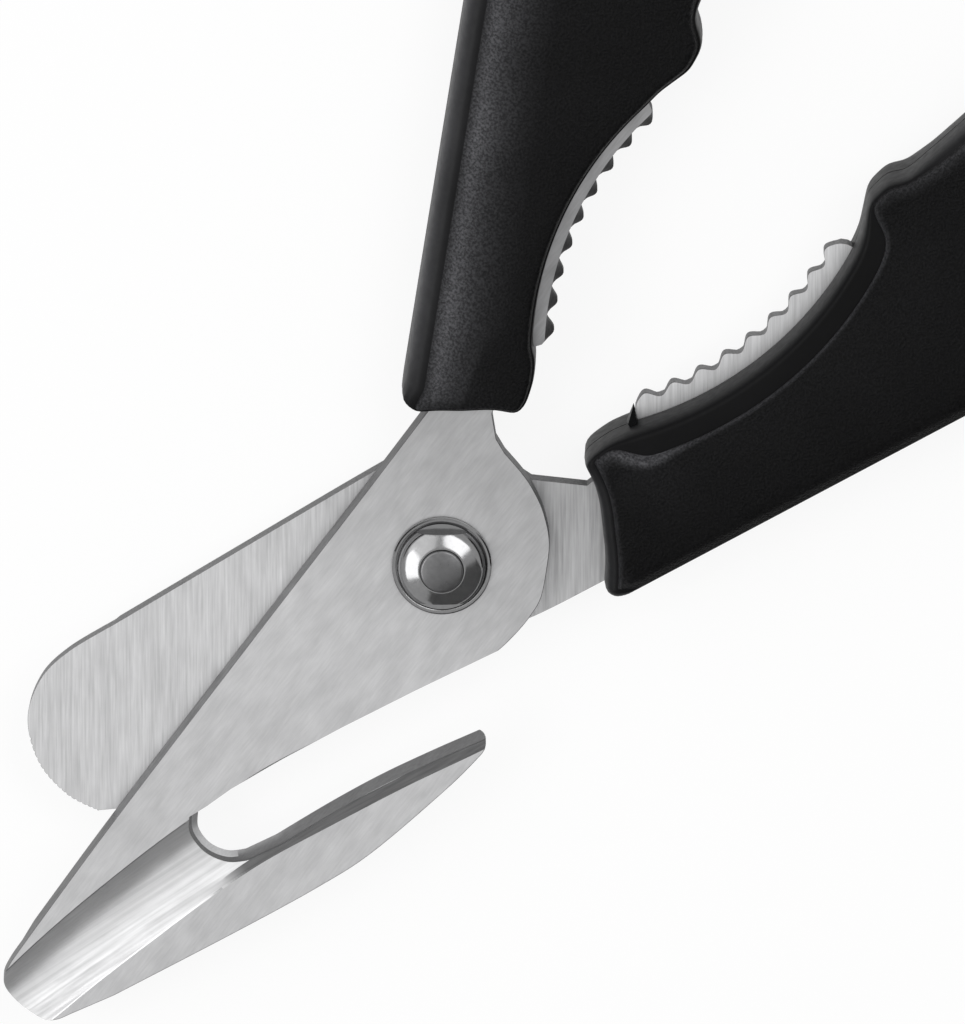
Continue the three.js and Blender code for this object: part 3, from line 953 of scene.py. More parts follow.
@dataclass
class FrontBlade:
    """The front plate: cutting edge, hollow-ground tip, slot and guard finger.

    Lengths are in millimetres, in the shared frame. The groove's depth is a share of groove_depth at each
    groove_share of the way from its blade side to its guard side.
    """

    low: float = LEVELS.front_back
    high: float = LEVELS.front_front
    edge_bevel: float = 0.2
    rim: float = 0.07
    pin_radius: float = 2.45
    steps: int = 20
    edge: tuple[Point, ...] = ((-11.34, 13.0), (-11.1, 0), (-10.9, -17.2), (-10.5, -42.5), (-10.0, -57.5))
    tip: tuple[Point, ...] = (
        (-9.9, -60), (-9.75, -62.4), (-9.3, -64), (-8, -65.1), (-5.7, -65.5), (-3.3, -65.1), (-2.1, -64.2),
        (-1.4, -63))
    guard: tuple[Point, ...] = (
        (1.1, -58.4), (7.1, -45.1), (11.1, -35.7), (13.3, -29.2), (15.3, -19), (15.9, -13.9))
    guard_end: tuple[Point, ...] = (
        (15.85, -13.3), (15.6, -12.75), (15.1, -12.42), (14.5, -12.4), (13.9, -12.8))
    shoulder: tuple[Point, ...] = (
        (9.95, -5.4), (10.35, -4.0), (10.6, -2.7), (10.8, -0.6), (10.8, 1.4), (10.45, 3.6), (9, 6.5),
        (7.4, 9), (5, 11.1), (2.6, 12.4), (0.6, 13.1), (-2.1, 13.7))
    tang: tuple[Point, ...] = ((-3.8, 14.4), (-5.8, 16.3), (-7.3, 21), (-13.5, 18.5))
    slot_bevel: float = 0.93
    lip_height: float = 0.46
    lip_share: float = 0.66
    spine: tuple[Point, ...] = (
        (12, -0.6), (10.5, -3.6), (6.1, -12.6), (2.4, -20.5), (-0.4, -26.9), (-2.8, -32.9), (-3.7, -36))
    slot_end: tuple[Point, ...] = ((-3.7, -37.5), (-2.6, -38.9), (-0.6, -39.5), (1.4, -39), (2.8, -37.7))
    slot_side: tuple[Point, ...] = (
        (4.4, -34.5), (6.8, -28.2), (9.2, -22.6), (11.8, -17.4), (14.1, -13.1), (16.5, -8.7))
    groove_depth: float = 1.5
    groove_blade_side: tuple[Point, ...] = (
        (10.5, -3.6), (6.1, -12.6), (2.4, -20.5), (-1.5, -29.1), (-3.8, -36.5),
        (-5.7, -43.1), (-7.8, -52.1), (-9, -58.5), (-9.7, -63.3), (-10.3, -67.5))
    groove_guard_side: tuple[Point, ...] = (
        (19.6, -5), (15.7, -13.5), (11.8, -21.4), (8.1, -29.6), (4.9, -37),
        (2.8, -43.6), (0.5, -52.4), (-1, -58.5), (-2.1, -63.5), (-3, -67.5))
    groove_share: tuple[float, ...] = (0, 0.15, 0.3, 0.45, 0.62, 0.76, 0.84, 0.9)
    groove_at_slot: tuple[float, ...] = (-0.03, 0.6, 0.98, 1, 1, 1, 1, 1)
    groove_at_tip: tuple[float, ...] = (-0.03, 0.6, 0.96, 1, 0.88, 0.6, 0.34, 0.15)
    groove_stations: tuple[float, ...] = (3.0, 5.6, 7.5)
    groove_steps: int = 4
    groove_brim: float = 0.05
    brim_spans: int = 3
    groove_slope: float = 0.3
    wall_tone: float = 0.75
    reach: float = 5.0

    def plate(self) -> Piece:
        """Loft the uncut plate, with a slanted cutting edge and a fine rim.

        Returns:
            The object.
        """
        edge = smooth_run(self.edge, self.steps)
        rest = []
        for run in (self.tip, self.guard, self.guard_end, self.shoulder):
            rest += smooth_run(run, self.steps)
        rest += [Vector(p) for p in self.tang]
        outline = edge + rest
        slanted = [p - Vector((self.edge_bevel, 0)) for p in edge] + rest
        sides = (slanted, self.low), (outline, self.high - self.rim)
        return lofted("front_blade_plate", *sides, (inset_outline(outline, self.rim), self.high))

    def slot_cutter(self) -> Piece:
        """Loft the slot's room: narrow at the back, wider above a bevel, with a fine flare at the front.

        Returns:
            A closed cutter.
        """
        spine = [Vector(p) for p in self.spine]
        round_side = smooth_run(self.slot_end, self.steps) + smooth_run(self.slot_side, self.steps)
        mouth = [Vector((self.spine[0][0] + self.reach, self.spine[0][1]))]
        narrow = spine + round_side + mouth
        wide = spine + offset_run(round_side, self.slot_bevel) + mouth
        side_start = (len(self.slot_end) - 1) * self.steps
        share_at_side = self.lip_height / self.slot_bevel
        lip = []
        for i, (inner, outer) in enumerate(zip(narrow, wide)):
            gone = ease(i - len(spine), side_start - self.steps, side_start + self.steps)
            lip.append(inner.lerp(outer, self.lip_share + (share_at_side - self.lip_share) * gone))
        straight = (narrow, self.low - self.reach), (narrow, self.low)
        flare = (lip, self.low + self.lip_height), (wide, self.low + self.slot_bevel)
        return lofted("slot_cutter", *straight, *flare, (wide, self.high + self.reach))

    def groove_cutter(self) -> Piece:
        """Loft the groove's room from past the guard's end to past the tip.

        Returns:
            A closed cutter.
        """
        blade = smooth_run(self.groove_blade_side, self.steps)
        guard = smooth_run(self.groove_guard_side, self.steps)
        shares = [p.x for p in smooth_run([(s, 0) for s in self.groove_share], self.groove_steps)]
        forms = []
        for depths in (self.groove_at_slot, self.groove_at_tip):
            run = smooth_run(list(zip(self.groove_share, depths)), self.groove_steps)
            forms.append([p.y for p in run])
        slot_station, wall_station, tip_station = (n * self.steps for n in self.groove_stations)
        top = self.high + self.reach
        shell = Loft()
        rings: list[Ring] = []
        for i, (start, end) in enumerate(zip(blade, guard)):
            slow, fast = (ease(i, slot_station, station) for station in (tip_station, wall_station))
            places = []
            for s, at_slot, at_tip in zip(shares, *forms):
                blend = slow + (fast - slow) * s * s
                depth = self.groove_depth * (at_slot + (at_tip - at_slot) * blend)
                place = start.lerp(end, s)
                places.append(Vector((place.x, place.y, self.high - depth)))
            foot, brim = places[-1], Vector((end.x, end.y, self.high + self.groove_brim))
            places += [foot.lerp(brim, n / self.brim_spans) for n in range(1, self.brim_spans + 1)]
            places += [Vector((end.x, end.y, top)), Vector((start.x, start.y, top))]
            if rings:
                rings.append(shell.grow_to(rings[-1], places))
            else:
                rings.append(shell.move(shell.ring(places, 0), places))
        shell.cap(rings[0])
        shell.cap(rings[-1])
        return shell.piece("groove_cutter")

    def build(self) -> Piece:
        """Cut the slot, the groove and the pin hole out of the plate, and tell the groove's faces apart.

        Returns:
            The object.
        """
        piece = self.plate()
        cut(piece, self.slot_cutter())
        cut(piece, self.groove_cutter())
        drill(piece, self.pin_radius, self.low - self.reach, self.high + self.reach)
        floor, top = self.high - self.groove_depth - self.rim, self.high - self.rim
        for polygon in piece.data.polygons:
            in_groove = floor < polygon.center.z / MM < top and polygon.normal.z > self.groove_slope
            polygon.material_index = int(in_groove)
        return piece

    def add(self) -> None:
        """Build the plate and dress it."""
        steels = FRONT_STEEL, GROOVE_STEEL
        dress(self.build(), Body.FRONT, Slot.FRONT_STEEL, *steels, wall=self.wall_tone, node="front_blade")


@dataclass
class RearBlade:
    """The rear plate: a round-ended blade with fine ridges on its edge.

    Lengths are in millimetres, in the shared frame. The ridges are counted in steps along the blade's end.
    """

    low: float = LEVELS.rear_back
    high: float = LEVELS.rear_front
    bevel: float = 0.6
    rim: float = 0.03
    pin_radius: float = 2.45
    steps: int = 12
    spine: tuple[Point, ...] = ((-4, 12.2), (-8.7, 9.3), (-11.3, 3.6), (-17.2, -11.5), (-22.8, -26))
    end: tuple[Point, ...] = (
        (-23, -26.5), (-25.1, -32), (-25.6, -36.2), (-24.1, -40.4), (-20.3, -43.5), (-15.8, -44.5),
        (-12, -43.9))
    edge: tuple[Point, ...] = ((-9.6, -41.6), (-7.6, -36), (-3.1, -24), (1.2, -12.6), (2.9, -8))
    heel: tuple[Point, ...] = ((5, -4.6), (8.4, -2.7), (11.2, 0.3), (15.04, 8.44))
    tang: tuple[Point, ...] = ((17.2, 14.5), (8.6, 20.5), (7.32, 15.62), (2.3, 12.6))
    ridge_steps: int = 40
    ridge_depth: float = 0.09
    ridge_start: float = 0.56
    ridge_pitch: int = 6
    ridge_gap: int = 2
    reach: float = 1.0
    wall_tone: float = 0.75

    def build(self) -> Piece:
        """Loft the plate and cut its pin hole.

        Returns:
            The object.
        """
        spine = smooth_run(self.spine, self.steps)
        end = smooth_run(self.end, self.ridge_steps)
        edge = smooth_run(self.edge, self.steps)
        rest = smooth_run(self.heel, self.steps) + [Vector(p) for p in self.tang]
        ridged = offset_run(end, -self.ridge_depth)
        notched = list(end)
        for i in range(int(len(end) * self.ridge_start) + 1, len(end)):
            if i % self.ridge_pitch < self.ridge_gap:
                notched[i] = ridged[i]
        front = spine + notched + edge + rest
        back = spine + ridged + offset_run(edge, -self.bevel) + rest
        sides = (back, self.low), (front, self.high - self.rim)
        piece = lofted("rear_blade_plate", *sides, (inset_outline(front, self.rim), self.high))
        drill(piece, self.pin_radius, self.low - self.reach, self.high + self.reach)
        return piece

    def add(self) -> None:
        """Build the plate and dress it."""
        dress(self.build(), Body.REAR, Slot.REAR_STEEL, REAR_STEEL, wall=self.wall_tone, node="rear_blade")


@dataclass
class Pivot:
    """The rivet with its domed collar at the front and its washer at the back.

    Lengths are in millimetres and angles in degrees, in the shared frame.
    """

    pin_radius: float = 2.3
    hole_radius: float = 2.45
    tail_radius: float = 4.2
    tail_height: float = 1.2
    washer_radius: float = 5.25
    washer: tuple[float, float] = (1.35, 1.95)
    collar_radius: float = 5.25
    seat: float = 7.1
    rim_height: float = 0.5
    lip: float = 0.6
    dome: tuple[Point, ...] = (
        (4.65, 7.48), (4.6, 7.95), (4.45, 8.35), (4.2, 8.68), (3.85, 8.92), (3.4, 9.11), (2.9, 9.3),
        (2.5, 9.44), (2.35, 9.46))
    dome_steps: int = 4
    bed: tuple[Point, ...] = ((0.15, 0.0), (0.05, -0.08))
    pin_top: float = 9.75
    round_edge: float = 0.25
    pin_edge: float = 0.08
    washer_edge: float = 0.12
    collar_edge: float = 0.15
    bore_fit: float = 0.1
    flat_distance: float = 3.8
    flat_turn: float = 127.4
    flat_floor: float = 7.62
    reach: float = 1.0

    def rivet(self) -> Piece:
        """Turn the rivet: flat tail, shank and rounded pin end.

        Returns:
            The object.
        """
        r, tail, top, e = self.pin_radius, self.tail_radius, self.pin_top, self.round_edge
        tail_edge = [(tail - e, 0), (tail - e / 3, e / 3), (tail, e)]
        head_edge = [(tail, self.tail_height - e), (tail - e, self.tail_height)]
        pin_end = [(r, top - e), (r - self.pin_edge, top - self.pin_edge), (r - e, top), (0, top)]
        return turned("rivet_pin", [(0, 0), *tail_edge, *head_edge, (r, self.tail_height), *pin_end])

    def ring(self) -> Piece:
        """Turn the washer under the tail.

        Returns:
            The object.
        """
        low, high = self.washer
        r, hole, e = self.washer_radius, self.hole_radius, self.washer_edge
        outside = [(r - e, low), (r, low + e), (r, high - e), (r - e, high)]
        return turned("washer_ring", [(hole, low), *outside, (hole, high), (hole, low)])

    def collar(self) -> Piece:
        """Turn the collar, a rim, a flat lip and a dome up to the pin's end, and cut the dome's two flats.

        Returns:
            The object.
        """
        r, e = self.collar_radius, self.collar_edge
        rim = self.seat + self.rim_height
        foot = r - self.lip
        dome = [(p.x, p.y) for p in smooth_run(self.dome, self.dome_steps)]
        edge = [(r, self.seat), (r, rim - e), (r - e, rim)]
        bed = [(foot + out, rim + rise) for out, rise in self.bed]
        inner = self.hole_radius - self.bore_fit
        piece = turned("collar_dome", [(inner, self.seat), *edge, *bed, *dome, (inner, self.seat)])
        for turn in (self.flat_turn, self.flat_turn + 180):
            cut(piece, self.flat_cutter(turn))
        return piece

    def flat_cutter(self, turn: float) -> Piece:
        """Loft the room that one of the dome's two flats leaves.

        Args:
            turn: Angle that the flat faces, in degrees.

        Returns:
            A closed cutter.
        """
        out = Vector(polar(1, turn))
        past = self.collar_radius + self.reach
        across = Vector((-out.y, out.x)) * past
        near, far = out * self.flat_distance, out * past
        corners = [near - across, far - across, far + across, near + across]
        return lofted("flat_cutter", (corners, self.flat_floor), (corners, self.pin_top + self.reach))

    def add(self) -> None:
        """Build the three pieces and dress them."""
        for piece, finish, node in (
            (self.rivet(), PIN_STEEL, "pivot_rivet"),
            (self.collar(), COLLAR_STEEL, "pivot_collar"),
            (self.ring(), COLLAR_STEEL, "pivot_washer"),
        ):
            dress(piece, Body.FRONT, Slot.POLISHED, finish, crease=TURNED_CREASE, node=node)


class Region(Enum):
    """Stretches of a handle's outline."""

    OUTER = "outer"
    LOOP = "loop"
    INNER = "inner"
    STRIP = "strip"
    NOTCH = "notch"
    COLLAR = "collar"
    END = "end"


@dataclass(frozen=True)
class Relief:
    """How a shell's surface steps in along each stretch of its outline.

    Attributes:
        body: Share of the body's rounding.
        ledge: Distance from the outline to the panel's edge, in millimetres.
        crown: Share of the panel's rounding.
        body_highlight: How much painted highlight the body's edge gets.
        panel_highlight: How much painted highlight the panel's edge gets.
    """

    body: dict[Region, float]
    ledge: dict[Region, float]
    crown: dict[Region, float]
    body_highlight: dict[Region, float]
    panel_highlight: dict[Region, float]


def by_region(*values: float) -> dict[Region, float]:
    """Name a value for each region, in the regions' order."""
    return dict(zip(Region, values, strict=True))


# The highlight rows paint the lamps' highlight into the plastic, most on the outer side, which faces the key
# light.
PLAIN = Relief(
    body=by_region(0.8, 0.5, 0.15, 0.1, 0.1, 0.1, 0.1),
    ledge=by_region(2.1, 1.0, 0.4, 0.3, 0.3, 0.3, 0.3),
    crown=by_region(1.2, 0.26, 0.22, 0.13, 0.13, 0.13, 0.13),
    body_highlight=by_region(1.0, 0.5, 0.05, 0.0, 0.0, 0.05, 0.3),
    panel_highlight=by_region(1.0, 0.4, 0.05, 0.0, 0.0, 0.0, 0.3),
)
RECESSED = Relief(
    body=by_region(0.25, 0.5, 0.2, 0.42, 0.42, 0.2, 0.5),
    ledge=by_region(0.5, 0.9, 0.45, 2.9, 3.0, 0.5, 1.35),
    crown=by_region(0.5, 0.26, 0.25, 0.05, 0.35, 0.25, 0.11),
    body_highlight=by_region(0.05, 0.4, 0.22, 0.16, 0.16, 0.2, 0.6),
    panel_highlight=by_region(0.0, 0.4, 0.3, 0.9, 3.2, 0.5, 0.5),
)


@dataclass(frozen=True)
class Step:
    """One step of a shell's rounding.

    Attributes:
        inset: Distance from the outline, in millimetres.
        height: Height from the parting level, in millimetres.
        highlight: Share of painted highlight there, from 0 to 1, most on the slopes that the lamps would
            catch.
    """

    inset: float
    height: float
    wear: float


@dataclass
class Rim:
    """A closed outline that a shell rises from.

    Attributes:
        outline: Its points, counter-clockwise.
        shares: Share of the rounding at each point.
        highlight: Share of the painted highlight at each point.
        ends: Whether each point is on the bolster's end.
    """

    outline: Outline
    shares: list[float]
    wear: list[float]
    ends: list[bool]


@dataclass
class Handle:
    """A moulded handle: two half shells, each a smooth body with a raised pebbled panel.

    Lengths are in millimetres and angles in degrees, in the shared frame. The loop's points are measured
    inwards from the handle's far outer corner, the bump's from the strip's end.
    """

    word: str
    body: Body
    side: int
    outer: Point
    loop: tuple[Point, ...]
    bump: tuple[Point, ...]
    swell: tuple[float, ...]
    end_angles: tuple[float, float]
    corner_turn: float
    hole: Point
    recessed: Face
    strip: CrackerStrip
    length: float = 119.5
    half_spread: float = 55.76
    end_radius: float = 17.25
    lip: float = 1.2
    lip_share: float = 0.6
    corner: float = 1.6
    hole_length: float = 42.0
    hole_width: float = 23.5
    hole_tilt: float = 18.0
    hole_share: float = 0.55
    hole_crown: float = 0.33
    hole_ledge: float = 1.1
    # Painted highlight round the finger hole.
    hole_highlight: float = 0.3
    show: float = 2.5
    spacing: float = 0.5
    loop_start: float = 66.0
    notch: float = 2.4
    wedge: tuple[Place, ...] = ()
    loop_steps: int = 8
    face_steps: int = 12
    line_steps: int = 20
    strip_steps: int = 40
    notch_steps: int = 4
    hole_steps: int = 140
    collar_shares: tuple[float, ...] = (0.05, 0.42, 0.8, 0.97)
    base_passes: int = 2
    body_passes: int = 8
    ledge_passes: int = 10
    crown_passes: int = 60
    body_highlight_passes: int = 40
    panel_highlight_passes: int = 24
    # The third number of each step is its share of painted highlight, most on the slopes that face the
    # lamps.
    body_profile: tuple[Step, ...] = (
        Step(0.0, 0.1, 0.6), Step(0.04, 1.2, 0.8), Step(0.14, 2.4, 0.9), Step(0.34, 3.3, 1.0),
        Step(0.66, 4.0, 0.9), Step(1.1, 4.5, 0.7), Step(1.6, 4.8, 0.45), Step(2.1, 4.92, 0.25),
        Step(2.6, 4.95, 0.15))
    panel_profile: tuple[Step, ...] = (
        Step(0.0, 4.6, 0.2), Step(0.05, 4.93, 0.3), Step(0.3, 5.03, 0.5), Step(0.7, 5.22, 0.8),
        Step(1.1, 5.42, 1.0), Step(1.7, 5.66, 0.78), Step(2.5, 5.84, 0.5), Step(3.5, 5.94, 0.3),
        Step(4.8, 5.985, 0.14), Step(6.4, 6.0, 0.04))

    def relief(self, face: Face) -> Relief:
        """Return the relief of one half of the handle."""
        return RECESSED if face is self.recessed else PLAIN

    def runs(self) -> list[tuple[Outline, Region]]:
        """Draw the stretches of the outline in order, from the outer side round the loop to the bolster.

        Returns:
            The points of each stretch, with its region.
        """
        strip, flip = self.strip, self.side
        along_strip = partial(arc, strip.centre, strip.tip_radius + self.show, flip=flip)
        strip_end = along_strip(strip.end, strip.end, 1)[0]
        strip_start = along_strip(strip.start, strip.start, 1)[0]
        notch_end = strip.start + self.notch
        start = (self.outer[0], self.outer[1] + strip.centre[1])
        far = [(flip * (self.half_spread - x), self.length - y) for x, y in self.loop]
        stop = [(x + strip_end.x, y + strip_end.y) for x, y in self.bump]
        first, last = self.end_angles
        face = []
        for share in (i / self.face_steps for i in range(self.face_steps + 1)):
            rise = self.lip * (1 - ease(share, 0, self.lip_share))
            face.append(Vector(polar(self.end_radius + rise, first + (last - first) * share)))
        lip = face[0]
        along = (lip - strip_start).normalized()
        inward = Vector((along.y, -along.x)) * flip
        collar = []
        for share, swell in zip(self.collar_shares, self.swell):
            collar.append(strip_start.lerp(lip, share) + inward * swell)
        corner = Vector(polar(self.end_radius + self.corner, last + self.corner_turn))
        around = smooth_run([start, *far, *stop[:2]], self.loop_steps)
        top = max(range(len(around)), key=lambda i: around[i].y)
        outer = [p for p in around[:top] if p.y < self.loop_start]
        inner = [p for p in around[top:] if p.y < self.loop_start]
        outer_line = [corner.lerp(outer[0], i / self.line_steps) for i in range(1, self.line_steps)]
        return [
            (outer_line + outer, Region.OUTER),
            (around[len(outer):len(around) - len(inner)], Region.LOOP),
            (inner + [Vector(p) for p in stop[2:-1]], Region.INNER),
            ([Vector(stop[-1])], Region.STRIP),
            (along_strip(strip.end, notch_end, self.strip_steps), Region.STRIP),
            (along_strip(notch_end, strip.start, self.notch_steps)[1:], Region.NOTCH),
            (collar[:1], Region.NOTCH),
            (collar[1:], Region.COLLAR),
            ([*face, corner], Region.END),
        ]

    def base(self) -> tuple[Outline, list[Region], list[bool]]:
        """Draw the outline at the parting level, counter-clockwise and evenly spaced.

        Returns:
            The points, the region of each, and whether each is on the bolster's end.
        """
        runs = self.runs()
        points = [p for run, _ in runs for p in run]
        regions = [region for run, region in runs for _ in run]
        area = sum(a.x * b.y - b.x * a.y for a, b in zip(points, points[1:] + points[:1]))
        if area < 0:
            points.reverse()
            regions.reverse()
        tree = indexed(points)
        outline = resample(points, self.spacing)
        found = [regions[tree.find((p.x, p.y, 0))[1]] for p in outline]
        return relax(outline, self.base_passes), found, [region is Region.END for region in found]

    def hole_outline(self) -> Outline:
        """Draw the finger hole, counter-clockwise.

        Returns:
            Its points.
        """
        centre = Vector((self.side * (self.half_spread - self.hole[0]), self.length - self.hole[1]))
        turn = Matrix.Rotation(-self.side * math.radians(self.hole_tilt), 2)
        angles = [math.tau * i / self.hole_steps for i in range(self.hole_steps)]
        half = Vector((self.hole_width / 2, self.hole_length / 2))
        return [centre + turn @ Vector((half.x * math.cos(a), half.y * math.sin(a))) for a in angles]

    @staticmethod
    def spread(
        regions: Sequence[Region], values: dict[Region, float], passes: int, over: bool = False,
    ) -> list[float]:
        """Look up a value for each point's region, and even the values out between neighbours.

        Args:
            regions: Region of each point.
            values: Value for each region.
            passes: How often neighbours are averaged.
            over: Whether values also spread over the corners of the bolster's end.

        Returns:
            A value for each point.
        """
        result = [values[region] for region in regions]
        ends = [region is Region.END and not over for region in regions]
        count = len(result)
        for _ in range(passes):
            evened = []
            for i, value in enumerate(result):
                sides = [j % count for j in (i - 1, i + 1)]
                evened.append(value / 2 + sum(result[j] if ends[j] == ends[i] else value for j in sides) / 4)
            result = evened
        return result

    def shell(self, name: str, face: Face) -> Piece:
        """Loft a shell's smooth body with its finger hole.

        Args:
            name: Name of the object.
            face: Which half of the handle it is.

        Returns:
            The object.
        """
        outline, regions, ends = self.base()
        relief = self.relief(face)
        shares = self.spread(regions, relief.body, self.body_passes)
        wear = self.spread(regions, relief.body_highlight, self.body_highlight_passes, over=True)
        rims = Rim(outline, shares, wear, ends), self.hole_rim(0.0, self.hole_share)
        return self.loft(name, face, rims, self.body_profile)

    def hole_rim(self, ledge: float, share: float) -> Rim:
        """Draw the finger hole's rim.

        Args:
            ledge: How far it is stepped back, in millimetres.
            share: Share of the rounding, all round.

        Returns:
            The rim.
        """
        hole = self.hole_outline()
        count = len(hole)
        ends = [False] * count
        drawn = inset(hole, [-ledge] * count, ends) if ledge else hole
        return Rim(drawn, [-share] * count, [self.hole_highlight] * count, ends)

    def panel(self, name: str, face: Face) -> Piece:
        """Loft a shell's raised grip panel.

        Args:
            name: Name of the object.
            face: Which half of the handle it lies on.

        Returns:
            The object.
        """
        outline, regions, ends = self.base()
        relief = self.relief(face)
        edge = inset(outline, self.spread(regions, relief.ledge, self.ledge_passes), ends)
        shares = self.spread(regions, relief.crown, self.crown_passes)
        wear = self.spread(regions, relief.panel_highlight, self.panel_highlight_passes, over=True)
        rims = Rim(edge, shares, wear, ends), self.hole_rim(self.hole_ledge, self.hole_crown)
        return self.loft(name, face, rims, self.panel_profile)

    def web(self, name: str) -> Piece:
        """Hull the small dark plastic wedge beside the strip's start.

        Args:
            name: Name of the object.

        Returns:
            The object.
        """
        shell = Loft()
        for place in self.wedge:
            shell.mesh.verts.new(Vector(place) * MM)
        bmesh.ops.convex_hull(shell.mesh, input=shell.mesh.verts)
        return shell.piece(name)

    def loft(self, name: str, face: Face, rims: Sequence[Rim], profile: Sequence[Step]) -> Piece:
        """Loft a body along a profile of inset and height, with a matching wall round the finger hole.

        Args:
            name: Name of the object.
            face: Which half of the handle it is.
            rims: The outer outline and the finger hole's.
            profile: Steps from the lowest ring to the top.

        Returns:
            The object.
        """
        shell = Loft()
        stacks: list[list[Ring]] = []
        for rim in rims:
            rings: list[Ring] = []
            for step in profile:
                level = LEVELS.parting + face.value * step.height
                distances = [step.inset * share for share in rim.shares]
                drawn = inset(rim.outline, distances, rim.ends) if step.inset else rim.outline
                rings.append(shell.grow(rings[-1], drawn, level) if rings else shell.ring(drawn, level))
            stacks.append(rings)
        shell.cap(*(rings[0] for rings in stacks))
        shell.cap(*(rings[-1] for rings in stacks))
        # Store each point's share of painted highlight for the plastic's colour.
        for rim, rings in zip(rims, stacks):
            for step, ring in zip(profile, rings):
                for vert, wear in zip(ring, rim.wear):
                    vert[shell.painted_highlight] = step.wear * wear
        return shell.piece(name)

    def add(self) -> None:
        """Build both halves with their panels, and the wedge where there is one, and dress them."""
        for face in Face:
            half = f"{self.word}_handle_{face.name.lower()}"
            node = half + "_shell"
            shell = self.shell(node + "_body", face)
            dress(shell, self.body, Slot.PLASTIC, SMOOTH_PLASTIC, crease=MOULDED_CREASE, node=node)
            panel = self.panel(half + "_panel", face)
            dress(panel, self.body, Slot.PLASTIC, PEBBLED_PLASTIC, crease=MOULDED_CREASE)
        if self.wedge:
            dress(self.web(f"{self.word}_strip_gusset"), self.body, Slot.PLASTIC, SMOOTH_PLASTIC)


LEFT_STRIP = CrackerStrip(
    name="left_cracker_strip", flip=-1, low=LEVELS.front_back, high=LEVELS.front_front, bevel_front=True,
    body=Body.FRONT, slot=Slot.FRONT_STEEL, finish=LEFT_STRIP_STEEL, wall_tone=1.0)
RIGHT_STRIP = CrackerStrip(
    name="right_cracker_strip", flip=1, low=LEVELS.rear_back, high=LEVELS.rear_front, bevel_front=False,
    body=Body.REAR, slot=Slot.REAR_STEEL, finish=RIGHT_STRIP_STEEL, wall_tone=0.75)

LEFT_HANDLE = Handle(
    word="left",
    body=Body.FRONT,
    side=-1,
    outer=(-35.1, 3.1),
    loop=((12.3, 53.5), (5, 38.5), (0, 23.5), (1.8, 9.5), (10.8, 0.5), (22.3, 1.5), (30.5, 10.5),
          (34.8, 23.5), (37.2, 37.5)),
    bump=((-2.6, 14.8), (-2.3, 12.3), (-1.7, 10.6), (0.3, 9.3), (0.9, 8.4), (1.35, 5.8), (0.2, 2.1)),
    swell=(0.6, 1.15, 1.15, 0.6),
    end_angles=(103.6, 136.6),
    corner_turn=4.0,
    hole=(18.6, 27.5),
    recessed=Face.BACK,
    strip=LEFT_STRIP,
    show=2.2,
)
RIGHT_HANDLE = Handle(
    word="right",
    body=Body.REAR,
    side=1,
    outer=(33.8, -0.1),
    loop=((13.2, 53.5), (5.3, 38.5), (0.3, 23.5), (2.3, 9.5), (11.3, 0.5), (22.8, 1.5), (31.3, 10.5),
          (35.9, 23.5), (39.2, 37.5)),
    bump=((0.2, 14.8), (-0.7, 10.2), (-2.1, 8.7), (-2.5, 5.8), (-0.5, 1.8)),
    swell=(0.1, 0.9, 1.1, 0.75),
    end_angles=(72.3, 28.0),
    corner_turn=-1.6,
    hole=(19.4, 27.5),
    recessed=Face.FRONT,
    strip=RIGHT_STRIP,
    wedge=((5.85, 25.6, 4.42), (5.85, 25.6, 3.6), (6.4, 23.9, 6.2), (7.1, 24.62, 6.2), (7.6, 23.6, 6.2),
            (6.4, 23.7, 3.6), (7.8, 24.2, 3.6)),
)


# Studio

def facing(place: Place) -> Matrix:
    """Return the placement of a light or card at a place, in metres, turned to the origin."""
    spot = Vector(place)
    return Matrix.Translation(spot) @ spot.to_track_quat("Z", "Y").to_matrix().to_4x4()


def sheet(name: str, placement: Matrix) -> Piece:
    """Make a flat sheet for the studio.

    Args:
        name: Name of the object.
        placement: Where a square of one metre is moved, turned and stretched to.

    Returns:
        The object, linked to the scene.
    """
    half_side = 0.5
    shell = bmesh.new()
    bmesh.ops.create_grid(shell, x_segments=2, y_segments=2, size=half_side)
    bmesh.ops.transform(shell, matrix=placement, verts=shell.verts)
    mesh = bpy.data.meshes.new(name)
    shell.to_mesh(mesh)
    shell.free()
    result = bpy.data.objects.new(name, mesh)
    bpy.context.scene.collection.objects.link(result)
    return result


def seen_rays(tree: NodeTree) -> NodeSocket:
    """Add up the rays that see a surface as it is: camera, mirror and glass rays.

    Args:
        tree: The node tree of a material or a world.

    Returns:
        A socket that is 1 for those rays.
    """
    path = tree.nodes.new("ShaderNodeLightPath")
    total = path.outputs["Is Camera Ray"]
    for name in ("Is Glossy Ray", "Is Transmission Ray"):
        both = tree.nodes.new("ShaderNodeMath")
        both.operation = "ADD"
        both.use_clamp = True
        tree.links.new(total, both.inputs[0])
        tree.links.new(path.outputs[name], both.inputs[1])
        total = both.outputs[0]
    return total


def blend(output: Node, share: NodeSocket, plain: Node, seen: Node) -> None:
    """Mix two shaders into a tree's output.

    Args:
        output: The tree's output node.
        share: Share of the second shader.
        plain: The first shader.
        seen: The second shader.
    """
    tree = output.id_data
    mix = tree.nodes.new("ShaderNodeMixShader")
    for source, socket in zip((share, plain.outputs[0], seen.outputs[0]), mix.inputs):
        tree.links.new(source, socket)
    tree.links.new(mix.outputs[0], output.inputs["Surface"])


